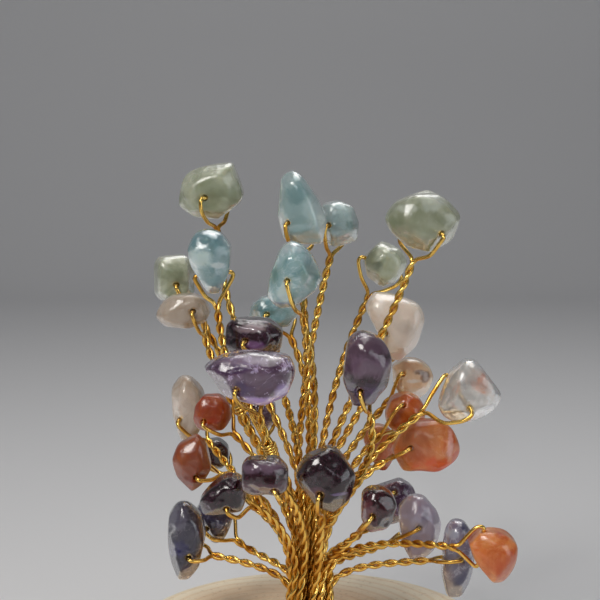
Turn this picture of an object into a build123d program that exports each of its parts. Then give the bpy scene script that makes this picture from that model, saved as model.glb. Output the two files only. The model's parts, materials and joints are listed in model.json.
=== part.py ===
from build123d import *
import math
import os
from dataclasses import dataclass
from itertools import combinations

import numpy as np

# Base: a turned slice of pale wood with a drilled socket
base_radius = 23.0
base_height = 10.0
rim_round = 2.4
foot_chamfer = 0.8
socket_depth = 7.0
socket_clearance = 0.55

# Bed of clear glue round the foot of the trunk
glue_fillet = 0.7
glue_step = 0.25
glue_clearance = 0.06

# Wire, and the stem that two strands of it make
wire_diameter = 0.5
strand_gap = 0.02
lay_length = 3.6
twisted_length = 9.5
rod_width = 0.80
rod_gap = 0.05
rod_run = 4.2
leave_step = 0.34
stub_length = 0.3
loop_gap = 0.18
corner_cut = 0.22
slack_cut = 0.05
fork_drop = 0.5

# Holes through the chips
bore_clearance = 0.10

# Crown, which all places are shares of, and the longest ordinary chip, which all chip sizes are shares of
crown_height = 60.0
chip_length = 10.0

# Trunk: rings of stems that turn together as they climb
trunk_turn_share = 0.10
gather_share = 0.16
trunk_pitch = rod_width + rod_gap
trunk_rings = 3
trunk_radius = trunk_rings * trunk_pitch + rod_width / 2
wire_radius = wire_diameter / 2
socket_radius = trunk_radius + socket_clearance
socket_floor = base_height - socket_depth

# Shares that shape the flats and the bends
leave_handle_share = 0.25
bare_share = 0.25
uneven_share = 0.05
lean_share = 0.14
thin_share = 0.03
wear_power = 1.5
bevel_tilt = 50.0
bevel_swing = 8.0

# Counts: sides of the tubes and of a tight hole, steps of the twist and of the rounded rim
loop_sides = 5
rod_sides = 5
hole_sides = 8
stations_per_turn = 5
route_points = 200
loop_samples = 60
rim_bevels = 3

# How close two corners of a chip may come before they count as one
touch = 0.000001


# Outlines of the ground chips, clockwise, as shares of half the width and half the height
OUTLINE_SHARES = {
    "lump": (
        (-1, -0.5), (-1, -0.1), (-0.8, 0.6), (-0.4, 0.9), (0.65, 1),
        (1, -0.1), (0.9, -0.4), (0.2, -1), (-0.5, -0.95),
    ),
    "pear": (
        (-1, 0.45), (-0.6, 0.9), (0, 1), (0.6, 0.85), (1, 0.4),
        (0.9, -0.4), (0.4, -1), (0, -1), (-0.8, -0.1),
    ),
    "drop": (
        (-1, -0.2), (-0.85, 0.8), (-0.45, 1), (0, 0.85), (0.6, 0.3),
        (1, -0.35), (0.8, -1), (0, -1), (-0.75, -0.85),
    ),
    "slant": (
        (-1, -0.65), (-0.9, 0), (-0.6, 0.7), (-0.2, 1), (0.2, 0.95),
        (0.65, 0.65), (1, -0.05), (0.8, -0.45), (0, -0.95), (-0.6, -1),
    ),
    "nugget": (
        (-1, 0.15), (-0.7, 0.65), (0.15, 1), (0.65, 0.7), (1, 0.2),
        (0.8, -0.6), (0.25, -1), (-0.4, -0.8), (-0.85, -0.3),
    ),
    "wedge": (
        (-1, 0.55), (-0.75, 1), (-0.3, 1), (0.8, 0.65),
        (1, 0.25), (0.6, -0.7), (0.2, -1), (-0.15, -0.95),
    ),
    "kite": (
        (-1, -0.45), (-0.6, 0.55), (-0.1, 1), (0.2, 0.95), (1, -0.1),
        (0.9, -0.45), (0.3, -0.85), (-0.4, -1), (-0.85, -0.8),
    ),
    "loaf": (
        (-1, -0.3), (-0.75, 0.5), (-0.4, 0.9), (0.4, 1), (0.8, 0.7),
        (1, -0.05), (0.85, -0.55), (0.3, -1), (-0.7, -0.95),
    ),
    "barrel": (
        (-1, -0.3), (-0.8, 0.75), (-0.4, 1), (0.3, 0.95), (0.8, 0.65),
        (1, 0.2), (0.75, -0.5), (0.2, -0.95), (-0.6, -1),
    ),
    "tongue": (
        (-1, 0.3), (-0.7, 0.7), (-0.1, 1), (0.85, 0.75),
        (1, 0.2), (0.8, -0.65), (0.3, -1), (-0.5, -0.7),
    ),
    "block": (
        (-1, -0.7), (-1, 0.65), (-0.75, 0.95), (0.55, 1),
        (1, 0.4), (0.95, -0.7), (0.6, -1), (-0.65, -1),
    ),
    "shard": (
        (-1, 0.6), (-0.45, 1), (0.1, 1), (0.8, 0.6), (1, 0.1),
        (0.65, -0.65), (0.1, -1), (-0.4, -1), (-0.9, -0.3),
    ),
    "pebble": (
        (-1, -0.35), (-0.9, 0.4), (-0.45, 0.95), (0.35, 1), (0.9, 0.5),
        (1, -0.2), (0.6, -0.9), (-0.1, -1), (-0.7, -0.85),
    ),
    "lozenge": (
        (-1, 0.1), (-0.7, 0.65), (0.3, 1), (0.75, 0.65),
        (1, -0.2), (0.55, -0.75), (0, -1), (-0.75, -0.5),
    ),
}


@dataclass(frozen=True)
class Chip:
    """One drilled chip, with the loop that holds it and the route of that loop's stem.

    place_share: middle of the chip as shares of the crown's height: right, back and up from the trunk's foot
    size_share: width, height and depth as shares of the chip length, before it is rolled and turned
    roll, yaw: turns in degrees, about the line of sight and then about the upright
    outline: its outline in the table above
    hole_share: how far the hole lies from the middle, as shares of half the width and half the height
    heading, pitch: where the stem points at the fork, in degrees
    turn: the hole's direction about the stem, in degrees, 0 for left to right
    ring, slot: the stem's place in the trunk
    leave_share: the height at which the stem leaves the trunk, as a share of the crown's height
    play: how far the chip rocks on its wire either way, in degrees
    reach_share: how far the stem keeps its direction below the fork, as a share of its length
    """

    name: str
    place_share: tuple
    size_share: tuple
    roll: float
    yaw: float
    outline: str
    hole_share: tuple
    heading: float
    pitch: float
    turn: float
    ring: int
    slot: float
    leave_share: float
    play: float = 0
    reach_share: float = 0.38


CHIPS = (
    Chip(
        "prehnite_top_left", (-0.201, 0.105, 0.888), (0.82, 0.70, 0.56), 0, 0, "lump", (0.15, -0.25),
        100, 86, 62, 1, 2, 0.24, 12,
    ),
    Chip(
        "aquamarine_pear", (-0.198, -0.070, 0.765), (0.55, 0.79, 0.52), 0, 0, "pear", (0.2, -0.4),
        190, 84, 5, 2, 7, 0.20, 12, 0.65,
    ),
    Chip(
        "prehnite_far_left", (-0.285, 0.165, 0.70), (0.50, 0.60, 0.46), 0, 20, "block", (0.4, -0.2),
        170, 62, 80, 2, 4, 0.19, 12,
    ),
    Chip(
        "rose_quartz_oval", (-0.259, 0.050, 0.647), (0.70, 0.44, 0.44), 0, 0, "loaf", (0.5, 0.1),
        170, 74, 80, 2, 6, 0.18, 12,
    ),
    Chip(
        "aqua_drop", (-0.014, 0.017, 0.863), (0.62, 0.92, 0.50), 0, 0, "drop", (-0.2, -0.4),
        150, 85, 60, 0, 0, 0.29, 12,
    ),
    Chip(
        "aqua_behind", (0.06, 0.133, 0.82), (0.56, 0.60, 0.48), 15, 0, "pebble", (-0.1, -0.2),
        20, 75, 60, 3, 5, 0.22,
    ),
    Chip(
        "teal_front", (-0.030, -0.100, 0.742), (0.65, 0.82, 0.48), 0, 0, "slant", (-0.1, -0.1),
        185, 75, 75, 1, 4, 0.26, 12,
    ),
    Chip(
        "teal_behind", (-0.077, 0.19, 0.625), (0.64, 0.42, 0.46), 0, 0, "pebble", (0.2, 0.0),
        150, 60, 60, 1, 1, 0.22,
    ),
    Chip(
        "prehnite_top_right", (0.224, 0.033, 0.832), (0.95, 0.77, 0.60), 0, 0, "nugget", (0.1, -0.2),
        5, 70, 125, 1, 5, 0.24, 12,
    ),
    Chip(
        "prehnite_behind", (0.161, 0.215, 0.724), (0.58, 0.60, 0.50), 0, 180, "nugget", (0.1, -0.1),
        15, 64, 20, 1, 0, 0.23, 12,
    ),
    Chip(
        "rose_quartz_lobed", (0.180, 0.120, 0.605), (0.80, 0.88, 0.52), 0, 0, "wedge", (-0.1, -0.3),
        25, 66, 60, 2, 3, 0.19,
    ),
    Chip(
        "smoky_quartz", (0.223, 0.210, 0.478), (0.57, 0.57, 0.46), 0, 0, "shard", (-0.3, -0.1),
        20, 46, 60, 2, 2, 0.17,
    ),
    Chip(
        "clear_quartz", (0.312, -0.083, 0.509), (0.78, 0.79, 0.50), 0, 0, "kite", (-0.4, 0.1),
        355, 38, -45, 2, 11, 0.16, 12,
    ),
    Chip(
        "carnelian_large", (0.238, 0.017, 0.378), (0.87, 0.68, 0.54), 0, 0, "loaf", (-0.45, -0.1),
        0, 30, 80, 2, 0, 0.15,
    ),
    Chip(
        "carnelian_behind", (0.20, 0.12, 0.423), (0.54, 0.50, 0.44), 20, 0, "pebble", (0.0, 0.0),
        21, 39, 60, 2, 1, 0.16,
    ),
    Chip(
        "carnelian_peach", (0.152, 0.230, 0.323), (0.46, 0.62, 0.44), 0, 0, "pear", (0.0, 0.0),
        45, 40, 60, 3, 4, 0.14,
    ),
    Chip(
        "amethyst_barrel", (0.111, -0.133, 0.566), (0.60, 0.91, 0.54), 0, 0, "barrel", (-0.2, -0.5),
        190, 76, 80, 2, 10, 0.16,
    ),
    Chip(
        "amethyst_dark_box", (-0.113, 0.0, 0.605), (0.72, 0.44, 0.48), -3, 0, "block", (0.1, 0.0),
        165, 63, 60, 1, 3, 0.19,
    ),
    Chip(
        "amethyst_great", (-0.118, -0.160, 0.553), (1.11, 0.66, 0.56), 0, 0, "tongue", (0.0, -0.1),
        215, 72, 60, 2, 8, 0.15,
    ),
    Chip(
        "amethyst_lilac_tip", (-0.101, 0.19, 0.405), (0.42, 0.42, 0.38), 30, 0, "shard", (0.0, 0.0),
        100, 62, 60, 3, 6, 0.14,
    ),
    Chip(
        "rose_quartz_left", (-0.257, 0.175, 0.420), (0.46, 0.88, 0.42), 0, 0, "shard", (-0.1, -0.2),
        165, 50, 60, 3, 9, 0.13,
    ),
    Chip(
        "carnelian_left", (-0.202, 0.085, 0.43), (0.50, 0.48, 0.46), 0, 0, "pebble", (0.0, 0.0),
        175, 45, 60, 2, 5, 0.14,
    ),
    Chip(
        "carnelian_low_left", (-0.235, -0.060, 0.361), (0.48, 0.68, 0.46), 0, 0, "lozenge", (0.1, -0.3),
        195, 14, 80, 3, 11, 0.11, 12,
    ),
    Chip(
        "garnet_behind", (-0.208, 0.215, 0.31), (0.44, 0.42, 0.40), 0, 0, "pebble", (0.0, 0.0),
        154, 50, 60, 3, 7, 0.13,
    ),
    Chip(
        "amethyst_small_box", (-0.085, -0.235, 0.378), (0.53, 0.43, 0.42), 0, 0, "block", (0.0, 0.0),
        240, 35, 90, 3, 13, 0.125,
    ),
    Chip(
        "amethyst_dark_left", (-0.168, -0.160, 0.324), (0.57, 0.47, 0.46), 0, 180, "drop", (-0.1, 0.0),
        215, 30, 60, 3, 12, 0.105,
    ),
    Chip(
        "amethyst_great_dark", (0.030, -0.150, 0.352), (0.72, 0.78, 0.54), 0, 0, "nugget", (0.0, -0.2),
        285, 72, 75, 3, 15, 0.09,
    ),
    Chip(
        "amethyst_red", (0.131, -0.160, 0.293), (0.44, 0.53, 0.44), 5, 0, "barrel", (0.0, 0.0),
        325, 50, 80, 3, 16, 0.12,
    ),
    Chip(
        "smoky_amethyst", (0.187, 0.22, 0.205), (0.60, 0.54, 0.46), 20, 0, "block", (0.0, 0.0),
        30, 37, 60, 3, 3, 0.105,
    ),
    Chip(
        "fluorite_lilac", (0.234, 0.120, 0.172), (0.57, 0.88, 0.46), 0, 0, "shard", (-0.2, 0.0),
        15, 25, 80, 3, 2, 0.10,
    ),
    Chip(
        "iolite_long", (0.306, 0.030, 0.134), (0.43, 1.04, 0.42), 0, 0, "barrel", (0.2, 0.0),
        358, 5, 80, 3, 1, 0.075, 12,
    ),
    Chip(
        "carnelian_far_right", (0.366, -0.070, 0.173), (0.60, 0.67, 0.52), 0, 0, "pear", (-0.5, 0.1),
        355, -8, 5, 3, 0, 0.115, 12,
    ),
    Chip(
        "fluorite_banded", (-0.254, 0.020, 0.179), (0.50, 1.04, 0.44), 0, 0, "shard", (0.2, -0.3),
        180, 12, 80, 3, 10, 0.075, 12,
    ),
    Chip(
        "fluorite_grey", (-0.202, 0.133, 0.182), (0.50, 0.52, 0.44), 0, 0, "wedge", (0.0, 0.0),
        160, 35, 60, 3, 8, 0.085,
    ),
)

# Stems that are one length of wire: each carries two neighbouring chips
SHARED_WIRES = (
    ("prehnite_far_left", "rose_quartz_oval"),
    ("aqua_drop", "aqua_behind"),
    ("teal_front", "teal_behind"),
    ("rose_quartz_lobed", "smoky_quartz"),
    ("carnelian_behind", "carnelian_peach"),
    ("amethyst_dark_box", "amethyst_lilac_tip"),
    ("rose_quartz_left", "carnelian_left"),
    ("carnelian_low_left", "garnet_behind"),
    ("amethyst_small_box", "amethyst_dark_left"),
    ("amethyst_red", "smoky_amethyst"),
    ("fluorite_banded", "fluorite_grey"),
)


def unit(vector):
    """The vector at length one."""
    return np.asarray(vector, float) / np.linalg.norm(vector)


def turned(vector, axis, degrees):
    """The vector turned about a unit axis."""
    angle = math.radians(degrees)
    along = axis * np.dot(axis, vector)
    return along + (vector - along) * math.cos(angle) + np.cross(axis, vector) * math.sin(angle)


def solid_of(outlines):
    """A closed solid from the flat outlines of its faces."""
    faces = [Face(Wire.make_polygon([Vector(*p) for p in outline], close=True)) for outline in outlines]
    body = Solid(Shell(faces))
    return body if body.volume > 0 else Solid(Shell([-f for f in faces]))


def rise_of(chip):
    """The stem's direction at the fork."""
    heading = math.radians(chip.heading)
    pitch = math.radians(chip.pitch)
    level = math.cos(pitch)
    return np.array([level * math.cos(heading), level * math.sin(heading), math.sin(pitch)])


def hole_of(chip):
    """The hole's direction, square to the stem."""
    rise = rise_of(chip)
    side = unit(np.cross((0, 1, 0), rise))
    return unit(turned(side, rise, chip.turn))


def middle_of(chip):
    """Middle of the chip."""
    return np.array(chip.place_share) * crown_height + (0, 0, base_height)


def axes_of(chip):
    """The chip's own width, height and depth directions."""
    right, back, up = np.eye(3)
    axes = [turned(axis, back, -chip.roll) for axis in (right, up, back)]
    return np.array([turned(axis, up, chip.yaw) for axis in axes])


def bore_middle(chip):
    """Where the hole crosses the chip."""
    width_way, height_way, _ = axes_of(chip)
    across = width_way * chip.hole_share[0] * chip.size_share[0]
    along = height_way * chip.hole_share[1] * chip.size_share[1]
    return middle_of(chip) + (across + along) * chip_length / 2


def flats_of(chip):
    """Directions and distances of the flats that a chip is ground to, from its middle.

    Each edge of the chip's outline is a flat across its thickness. A worn bevel leads from it to the front and
    another to the back, each set in or out and tilted by an uneven share.
    """
    half = np.array(chip.size_share) * chip_length / 2
    outline = np.array(OUTLINE_SHARES[chip.outline]) * half[:2]
    edge = np.roll(outline, -1, axis=0) - outline
    side = np.stack([-edge[:, 1], edge[:, 0]], axis=1) / np.linalg.norm(edge, axis=1)[:, None]
    reach = (side * outline).sum(axis=1)
    seed = sum(ord(letter) for letter in chip.name)
    count = np.arange(len(side)) + seed
    directions = [np.column_stack([side, np.zeros(len(side))])]
    distances = [reach]
    for sign in (-1, 1):
        tilt = np.radians(bevel_tilt + bevel_swing * np.sin(count * 1.7 + sign))
        worn = (reach * np.cos(tilt)) ** wear_power + (half[2] * np.sin(tilt)) ** wear_power
        worn = worn ** (1 / wear_power)
        directions.append(np.column_stack([side * np.cos(tilt)[:, None], sign * np.sin(tilt)]))
        distances.append(worn * (1 + uneven_share * np.sin(count * 2.4 - sign)))
        lean = lean_share * np.sin(seed * sign + np.arange(2))
        directions.append(np.array([unit((lean[0], lean[1], sign))]))
        distances.append(half[2:])
    return np.vstack(directions) @ axes_of(chip), np.concatenate(distances)


def corners_of(normals, distances):
    """Corners of the form that the flats enclose, as points and the flats that meet in each."""
    triples = np.array(list(combinations(range(len(normals)), 3)))
    planes = normals[triples]
    sound = np.abs(np.linalg.det(planes)) > thin_share**2
    triples = triples[sound]
    points = np.linalg.solve(planes[sound], distances[triples][:, :, None])[:, :, 0]
    points = points[(points @ normals.T <= distances + touch).all(axis=1)]
    return points[np.unique(points.round(5), axis=0, return_index=True)[1]]


def outlines_of(normals, distances):
    """The outline of each flat, its corners in order."""
    points = corners_of(normals, distances)
    outlines = []
    for normal, distance in zip(normals, distances):
        on = points[np.abs(points @ normal - distance) < 2 * touch]
        if len(on) < 3:
            continue
        middle = on.mean(axis=0)
        first = unit(on[0] - middle)
        second = np.cross(normal, first)
        order = np.argsort(np.arctan2((on - middle) @ second, (on - middle) @ first))
        outlines.append(on[order])
    return outlines


def chip_solid(chip):
    """The ground chip in place, with a round hole where it rocks on its wire and a many-sided one where it is held."""
    normals, distances = flats_of(chip)
    middle = middle_of(chip)
    body = solid_of([outline + middle for outline in outlines_of(normals, distances)])
    hole = hole_of(chip)
    bore = bore_middle(chip)
    reach = chip_length * max(chip.size_share)
    start = bore - hole * reach
    radius = wire_radius + bore_clearance
    if chip.play:
        drill = Solid.make_cylinder(radius, 2 * reach, Plane(origin=Vector(*start), z_dir=Vector(*hole)))
    else:
        drill = mitred_tube([start, bore + hole * reach], radius / math.cos(math.pi / hole_sides), hole_sides)
    return body - drill


def side_of(chip, sign, depths):
    """How far out from the hole's middle the wire passes at the given depths below it, on one side of the chip.

    The chip is cut in the loop's plane and beside it, at rest and as far as it rocks. Past the chip's foot the
    answer is below zero.
    """
    normals, distances = flats_of(chip)
    rise = rise_of(chip)
    hole = hole_of(chip)
    across = np.cross(hole, rise)
    distances = distances + normals @ (middle_of(chip) - bore_middle(chip))
    reach = []
    for angle in {-chip.play, -chip.play / 2, 0, chip.play / 2, chip.play}:
        rocked = turned(rise, hole, -angle)
        beside = turned(across, hole, -angle)
        for offset in (-wire_diameter, 0, wire_diameter):
            level = normals @ hole * sign
            upright = normals @ rocked
            room = distances - offset * (normals @ beside) + (wire_radius + loop_gap) * np.hypot(level, upright)
            limits = room[:, None] + np.outer(upright, depths)
            out = level > touch
            inward = level < -touch
            flat = ~out & ~inward
            far = (limits[out] / level[out][:, None]).min(axis=0)
            near = (limits[inward] / level[inward][:, None]).max(axis=0)
            inside = (far > near) & (limits[flat] > 0).all(axis=0)
            reach.append(np.where(inside, far, -chip_length))
    return np.max(reach, axis=0)


def turn_of(before, corner, after):
    """Twice the area of the triangle of three points in a plane, above zero where they turn left."""
    first = corner - before
    second = after - corner
    return first[0] * second[1] - first[1] * second[0]


def taut(points):
    """The points that a string pulled tight round the outer side of a row of points would touch."""
    kept = []
    for point in points:
        while len(kept) > 1 and turn_of(kept[-2], kept[-1], point) >= 0:
            kept.pop()
        kept.append(point)
    return kept


def thinned(points):
    """The row without the points that lie almost on the line between their neighbours."""
    points = list(points)
    index = 1
    while index < len(points) - 1:
        span = np.linalg.norm(points[index + 1] - points[index - 1])
        lift = abs(turn_of(points[index - 1], points[index], points[index + 1])) / span
        if lift < slack_cut:
            points.pop(index)
        else:
            index += 1
    return points


def loop_points(chip):
    """The wire's line through the chip and down both sides to the fork, and the fork itself.

    Each side is pulled taut: level out of the hole, down along the chip, and from its foot to the fork.
    """
    rise = rise_of(chip)
    hole = hole_of(chip)
    bore = bore_middle(chip)
    depths = corner_cut + np.arange(loop_samples) * chip_length / loop_samples
    reaches = [side_of(chip, sign, depths) for sign in (1, -1)]
    strand = wire_radius + strand_gap / 2
    foot = max(depths[reach > 0].max() for reach in reaches)
    fork_depth = foot + fork_drop
    sides = []
    for sign, reach in zip((1, -1), reaches):
        chain = [np.array((u, -v)) for u, v in zip(reach, depths) if u > strand and v < fork_depth]
        chain = thinned(taut(chain + [np.array((strand, -fork_depth))]))
        side = [(chain[0][0] - corner_cut, 0)] + chain + [(strand, -fork_depth - stub_length)]
        sides.append([bore + hole * sign * u + rise * v for u, v in side])
    fork = bore - rise * (fork_depth + stub_length)
    return sides[1][::-1] + sides[0], fork


def slot_point(ring, slot, height):
    """Place of a trunk slot at a height above the foot."""
    radius = ring * trunk_pitch
    turn = 2 * math.pi * (slot / (6 * ring) if ring else 0)
    twist = 2 * math.pi * trunk_turn_share * (height / (crown_height * gather_share) - 1)
    return np.array([radius * math.cos(turn + twist), radius * math.sin(turn + twist), height + base_height])


def curve_points(chip, fork, count):
    """Points on the smooth curve from the trunk to the fork, with the directions there."""
    leave = chip.leave_share * crown_height
    start = slot_point(chip.ring, chip.slot, leave)
    below = slot_point(chip.ring, chip.slot, leave - leave_step)
    span = np.linalg.norm(fork - start)
    first = start + unit(start - below) * span * leave_handle_share
    last = fork - rise_of(chip) * span * chip.reach_share
    t = np.linspace(0, 1, count)[:, None]
    points = start * (1 - t) ** 3 + 3 * first * t * (1 - t) ** 2 + 3 * last * t**2 * (1 - t) + fork * t**3
    ways = (first - start) * (1 - t) ** 2 + 2 * (last - first) * t * (1 - t) + (fork - last) * t**2
    return points, ways / np.linalg.norm(ways, axis=1)[:, None]


def mitred_tube(points, radius, sides, first_way=None, last_way=None):
    """A straight-sided tube along the points, mitred at each, with ends square to the ways given there."""
    points = [np.asarray(p, float) for p in points]
    ways = [unit(b - a) for a, b in zip(points, points[1:])]
    first_way = ways[0] if first_way is None else first_way
    last_way = ways[-1] if last_way is None else last_way
    across = unit(np.cross(ways[0], (0, 1, 0) if abs(ways[0][1]) < 0.8 else (1, 0, 0)))
    up = np.cross(ways[0], across)
    turns = [2 * math.pi * k / sides for k in range(sides)]
    ring = np.array([points[0] + radius * (across * math.cos(a) + up * math.sin(a)) for a in turns])
    normals = [first_way] + [unit(a + b) for a, b in zip(ways, ways[1:])] + [last_way]
    rings = []
    for index, (point, normal) in enumerate(zip(points, normals)):
        way = ways[max(index - 1, 0)]
        ring = ring + np.outer((point - ring) @ normal / np.dot(way, normal), way)
        rings.append(ring)
    outlines = [rings[0][::-1], rings[-1]]
    for low, high in zip(rings, rings[1:]):
        outlines += [np.array([low[k], low[k - sides + 1], high[k - sides + 1], high[k]]) for k in range(sides)]
    return solid_of(outlines)


def twisted_solid(points, ways, across):
    """The twisted pair as one body: a lens two strands wide, turned on from station to station."""
    stations = []
    travel = 0.0
    for index, (point, way) in enumerate(zip(points, ways)):
        across = unit(across - way * np.dot(across, way))
        turn = 2 * math.pi * travel / lay_length
        long_way = across * math.cos(turn) + np.cross(way, across) * math.sin(turn)
        short_way = np.cross(way, long_way)
        wide = wire_diameter + strand_gap / 2
        ring = [point + long_way * wide, point + short_way * wire_radius]
        ring += [point - long_way * wide, point - short_way * wire_radius]
        stations.append(np.array(ring))
        if index + 1 < len(points):
            travel += np.linalg.norm(points[index + 1] - point)
    outlines = [stations[0][::-1], stations[-1]]
    for low, high in zip(stations, stations[1:]):
        for k in range(4):
            n = (k + 1) % 4
            outlines += [np.array([low[k], low[n], high[k]]), np.array([low[n], high[n], high[k]])]
    return solid_of(outlines)


def wire_solids(chip):
    """Loop, twisted stretch and trunk stretch of one chip's wire, end to end."""
    loop, fork = loop_points(chip)
    points, ways = curve_points(chip, fork, route_points)
    reach = np.concatenate([[0], np.cumsum(np.linalg.norm(np.diff(points, axis=0), axis=1))])
    twist_from = max(reach[-1] - twisted_length, reach[-1] * bare_share)
    step = lay_length / stations_per_turn
    count = max(3, round((reach[-1] - twist_from) / step) + 1)
    stops = np.linspace(reach[-1], twist_from, count)
    places = np.array([[np.interp(s, reach, points[:, k]) for k in range(3)] for s in stops])
    tangents = np.array([unit([np.interp(s, reach, ways[:, k]) for k in range(3)]) for s in stops])
    twist = twisted_solid(places, -tangents, hole_of(chip))
    runs = max(2, round(twist_from / rod_run))
    stops = np.linspace(0, twist_from, runs + 1)
    upper = [np.array([np.interp(s, reach, points[:, k]) for k in range(3)]) for s in stops]
    foot = socket_floor - base_height
    leave = chip.leave_share * crown_height
    steps = max(3, round((leave - foot) / rod_run))
    heights = [foot + (leave - foot) * k / steps for k in range(steps)]
    lower = [slot_point(chip.ring, chip.slot, h) for h in heights]
    rod = mitred_tube(lower + upper, rod_width / 2, rod_sides, np.array((0.0, 0.0, 1.0)), tangents[-1])
    return [mitred_tube(loop, wire_radius, loop_sides), twist, rod]


def base_solid():
    """Turned wood slice: rim rounded in narrow bevels, small chamfer at the foot, socket for the trunk."""
    angles = [math.pi / 2 * step / rim_bevels for step in range(rim_bevels + 1)]
    rim_middle = base_radius - rim_round
    rim_start = base_height - rim_round
    rim = [(rim_middle + rim_round * math.cos(a), rim_start + rim_round * math.sin(a)) for a in angles]
    outline = Polyline(
        (0, 0),
        (base_radius - foot_chamfer, 0),
        (base_radius, foot_chamfer),
        *rim,
        (0, base_height),
        close=True,
    )
    body = revolve(Plane.XZ * make_face(outline), Axis.Z)
    socket = Plane.XY.offset(socket_floor) * Cylinder(
        socket_radius, 2 * socket_depth, align=(Align.CENTER, Align.CENTER, Align.MIN)
    )
    return body - socket


def glue_solid():
    """Ring of glue between socket and trunk, with a low fillet climbing the trunk."""
    inner = trunk_radius + glue_clearance
    outer = socket_radius
    top = base_height
    outline = Polyline(
        (inner, socket_floor),
        (outer, socket_floor),
        (outer, top + glue_step),
        (inner, top + glue_fillet),
        close=True,
    )
    return revolve(Plane.XZ * make_face(outline), Axis.Z)


def main():
    os.makedirs("parts", exist_ok=True)
    nodes = {"wood_base": [base_solid()], "glue_bed": [glue_solid()]}
    partner = {second: first for first, second in SHARED_WIRES}
    for chip in CHIPS:
        nodes[chip.name] = [chip_solid(chip)]
        wire = "wire_" + partner.get(chip.name, chip.name)
        nodes.setdefault(wire, []).extend(wire_solids(chip))
    for name, solids in nodes.items():
        shape = solids[0] if len(solids) == 1 else Compound(children=solids)
        export_step(shape, os.path.join("parts", name + ".step"))
    print(len(nodes), "nodes")


if __name__ == "__main__":
    main()
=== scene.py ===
"""Gemstone tree: drilled, polished chips on twisted gilt wire, gathered into a trunk on a slice of wood."""

import json
import logging
import math
from dataclasses import dataclass
from enum import Enum

import bpy
import numpy as np
from mathutils import Matrix, Vector


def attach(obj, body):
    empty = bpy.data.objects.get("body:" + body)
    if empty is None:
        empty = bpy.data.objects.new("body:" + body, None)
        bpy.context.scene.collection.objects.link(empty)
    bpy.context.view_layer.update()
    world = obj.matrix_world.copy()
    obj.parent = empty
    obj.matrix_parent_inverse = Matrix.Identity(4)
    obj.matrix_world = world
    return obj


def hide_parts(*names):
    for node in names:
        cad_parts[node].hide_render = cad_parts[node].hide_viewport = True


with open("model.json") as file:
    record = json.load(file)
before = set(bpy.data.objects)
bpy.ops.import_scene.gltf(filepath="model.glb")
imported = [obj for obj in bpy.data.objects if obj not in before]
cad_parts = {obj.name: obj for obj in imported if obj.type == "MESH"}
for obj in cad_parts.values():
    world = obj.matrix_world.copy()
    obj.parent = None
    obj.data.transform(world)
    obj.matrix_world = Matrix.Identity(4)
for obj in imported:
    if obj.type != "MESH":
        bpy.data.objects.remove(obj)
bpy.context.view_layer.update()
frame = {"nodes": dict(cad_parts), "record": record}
LOG = logging.getLogger("gemstone_tree")

Vector3 = tuple[float, float, float]
Colour = tuple[float, float, float]
Feed = bpy.types.NodeSocket | float | tuple[float, ...]
TURN = 2 * math.pi


class Stone(Enum):
    """Kinds of stone, named as the record's slots are."""

    PREHNITE = "prehnite"
    AQUAMARINE = "aquamarine"
    ROSE_QUARTZ = "rose_quartz"
    SMOKY_QUARTZ = "smoky_quartz"
    CLEAR_QUARTZ = "clear_quartz"
    CARNELIAN = "carnelian"
    AMETHYST_LIGHT = "amethyst_light"
    AMETHYST_DARK = "amethyst_dark"
    GARNET = "garnet"
    FLUORITE = "fluorite"
    IOLITE = "iolite"


@dataclass(frozen=True)
class Chip:
    """One drilled chip, the loop that holds it and the route of that loop's stem.

    place_share: middle as shares of the crown's height, right, back and up from the trunk's foot
    size_share: width and height as shares of the chip length, before it is rolled and turned
    roll, yaw: turns in degrees, about the line of sight and then about the upright
    hole_share: how far the hole lies from the middle, as shares of half the width and half the height
    heading, pitch: where the stem points at the fork, in degrees
    turn: the hole's direction about the stem, in degrees
    ring, slot: the stem's place in the trunk
    leave_share: height at which the stem leaves the trunk, as a share of the crown's height
    play: how far the chip rocks on its wire either way, in degrees
    reach_share: how far the stem keeps its direction below the fork, as a share of its length
    """

    name: str
    stone: Stone
    place_share: Vector3
    size_share: tuple[float, float]
    roll: float
    yaw: float
    hole_share: tuple[float, float]
    heading: float
    pitch: float
    turn: float
    ring: int
    slot: float
    leave_share: float
    play: float = 0
    reach_share: float = 0.38


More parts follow.
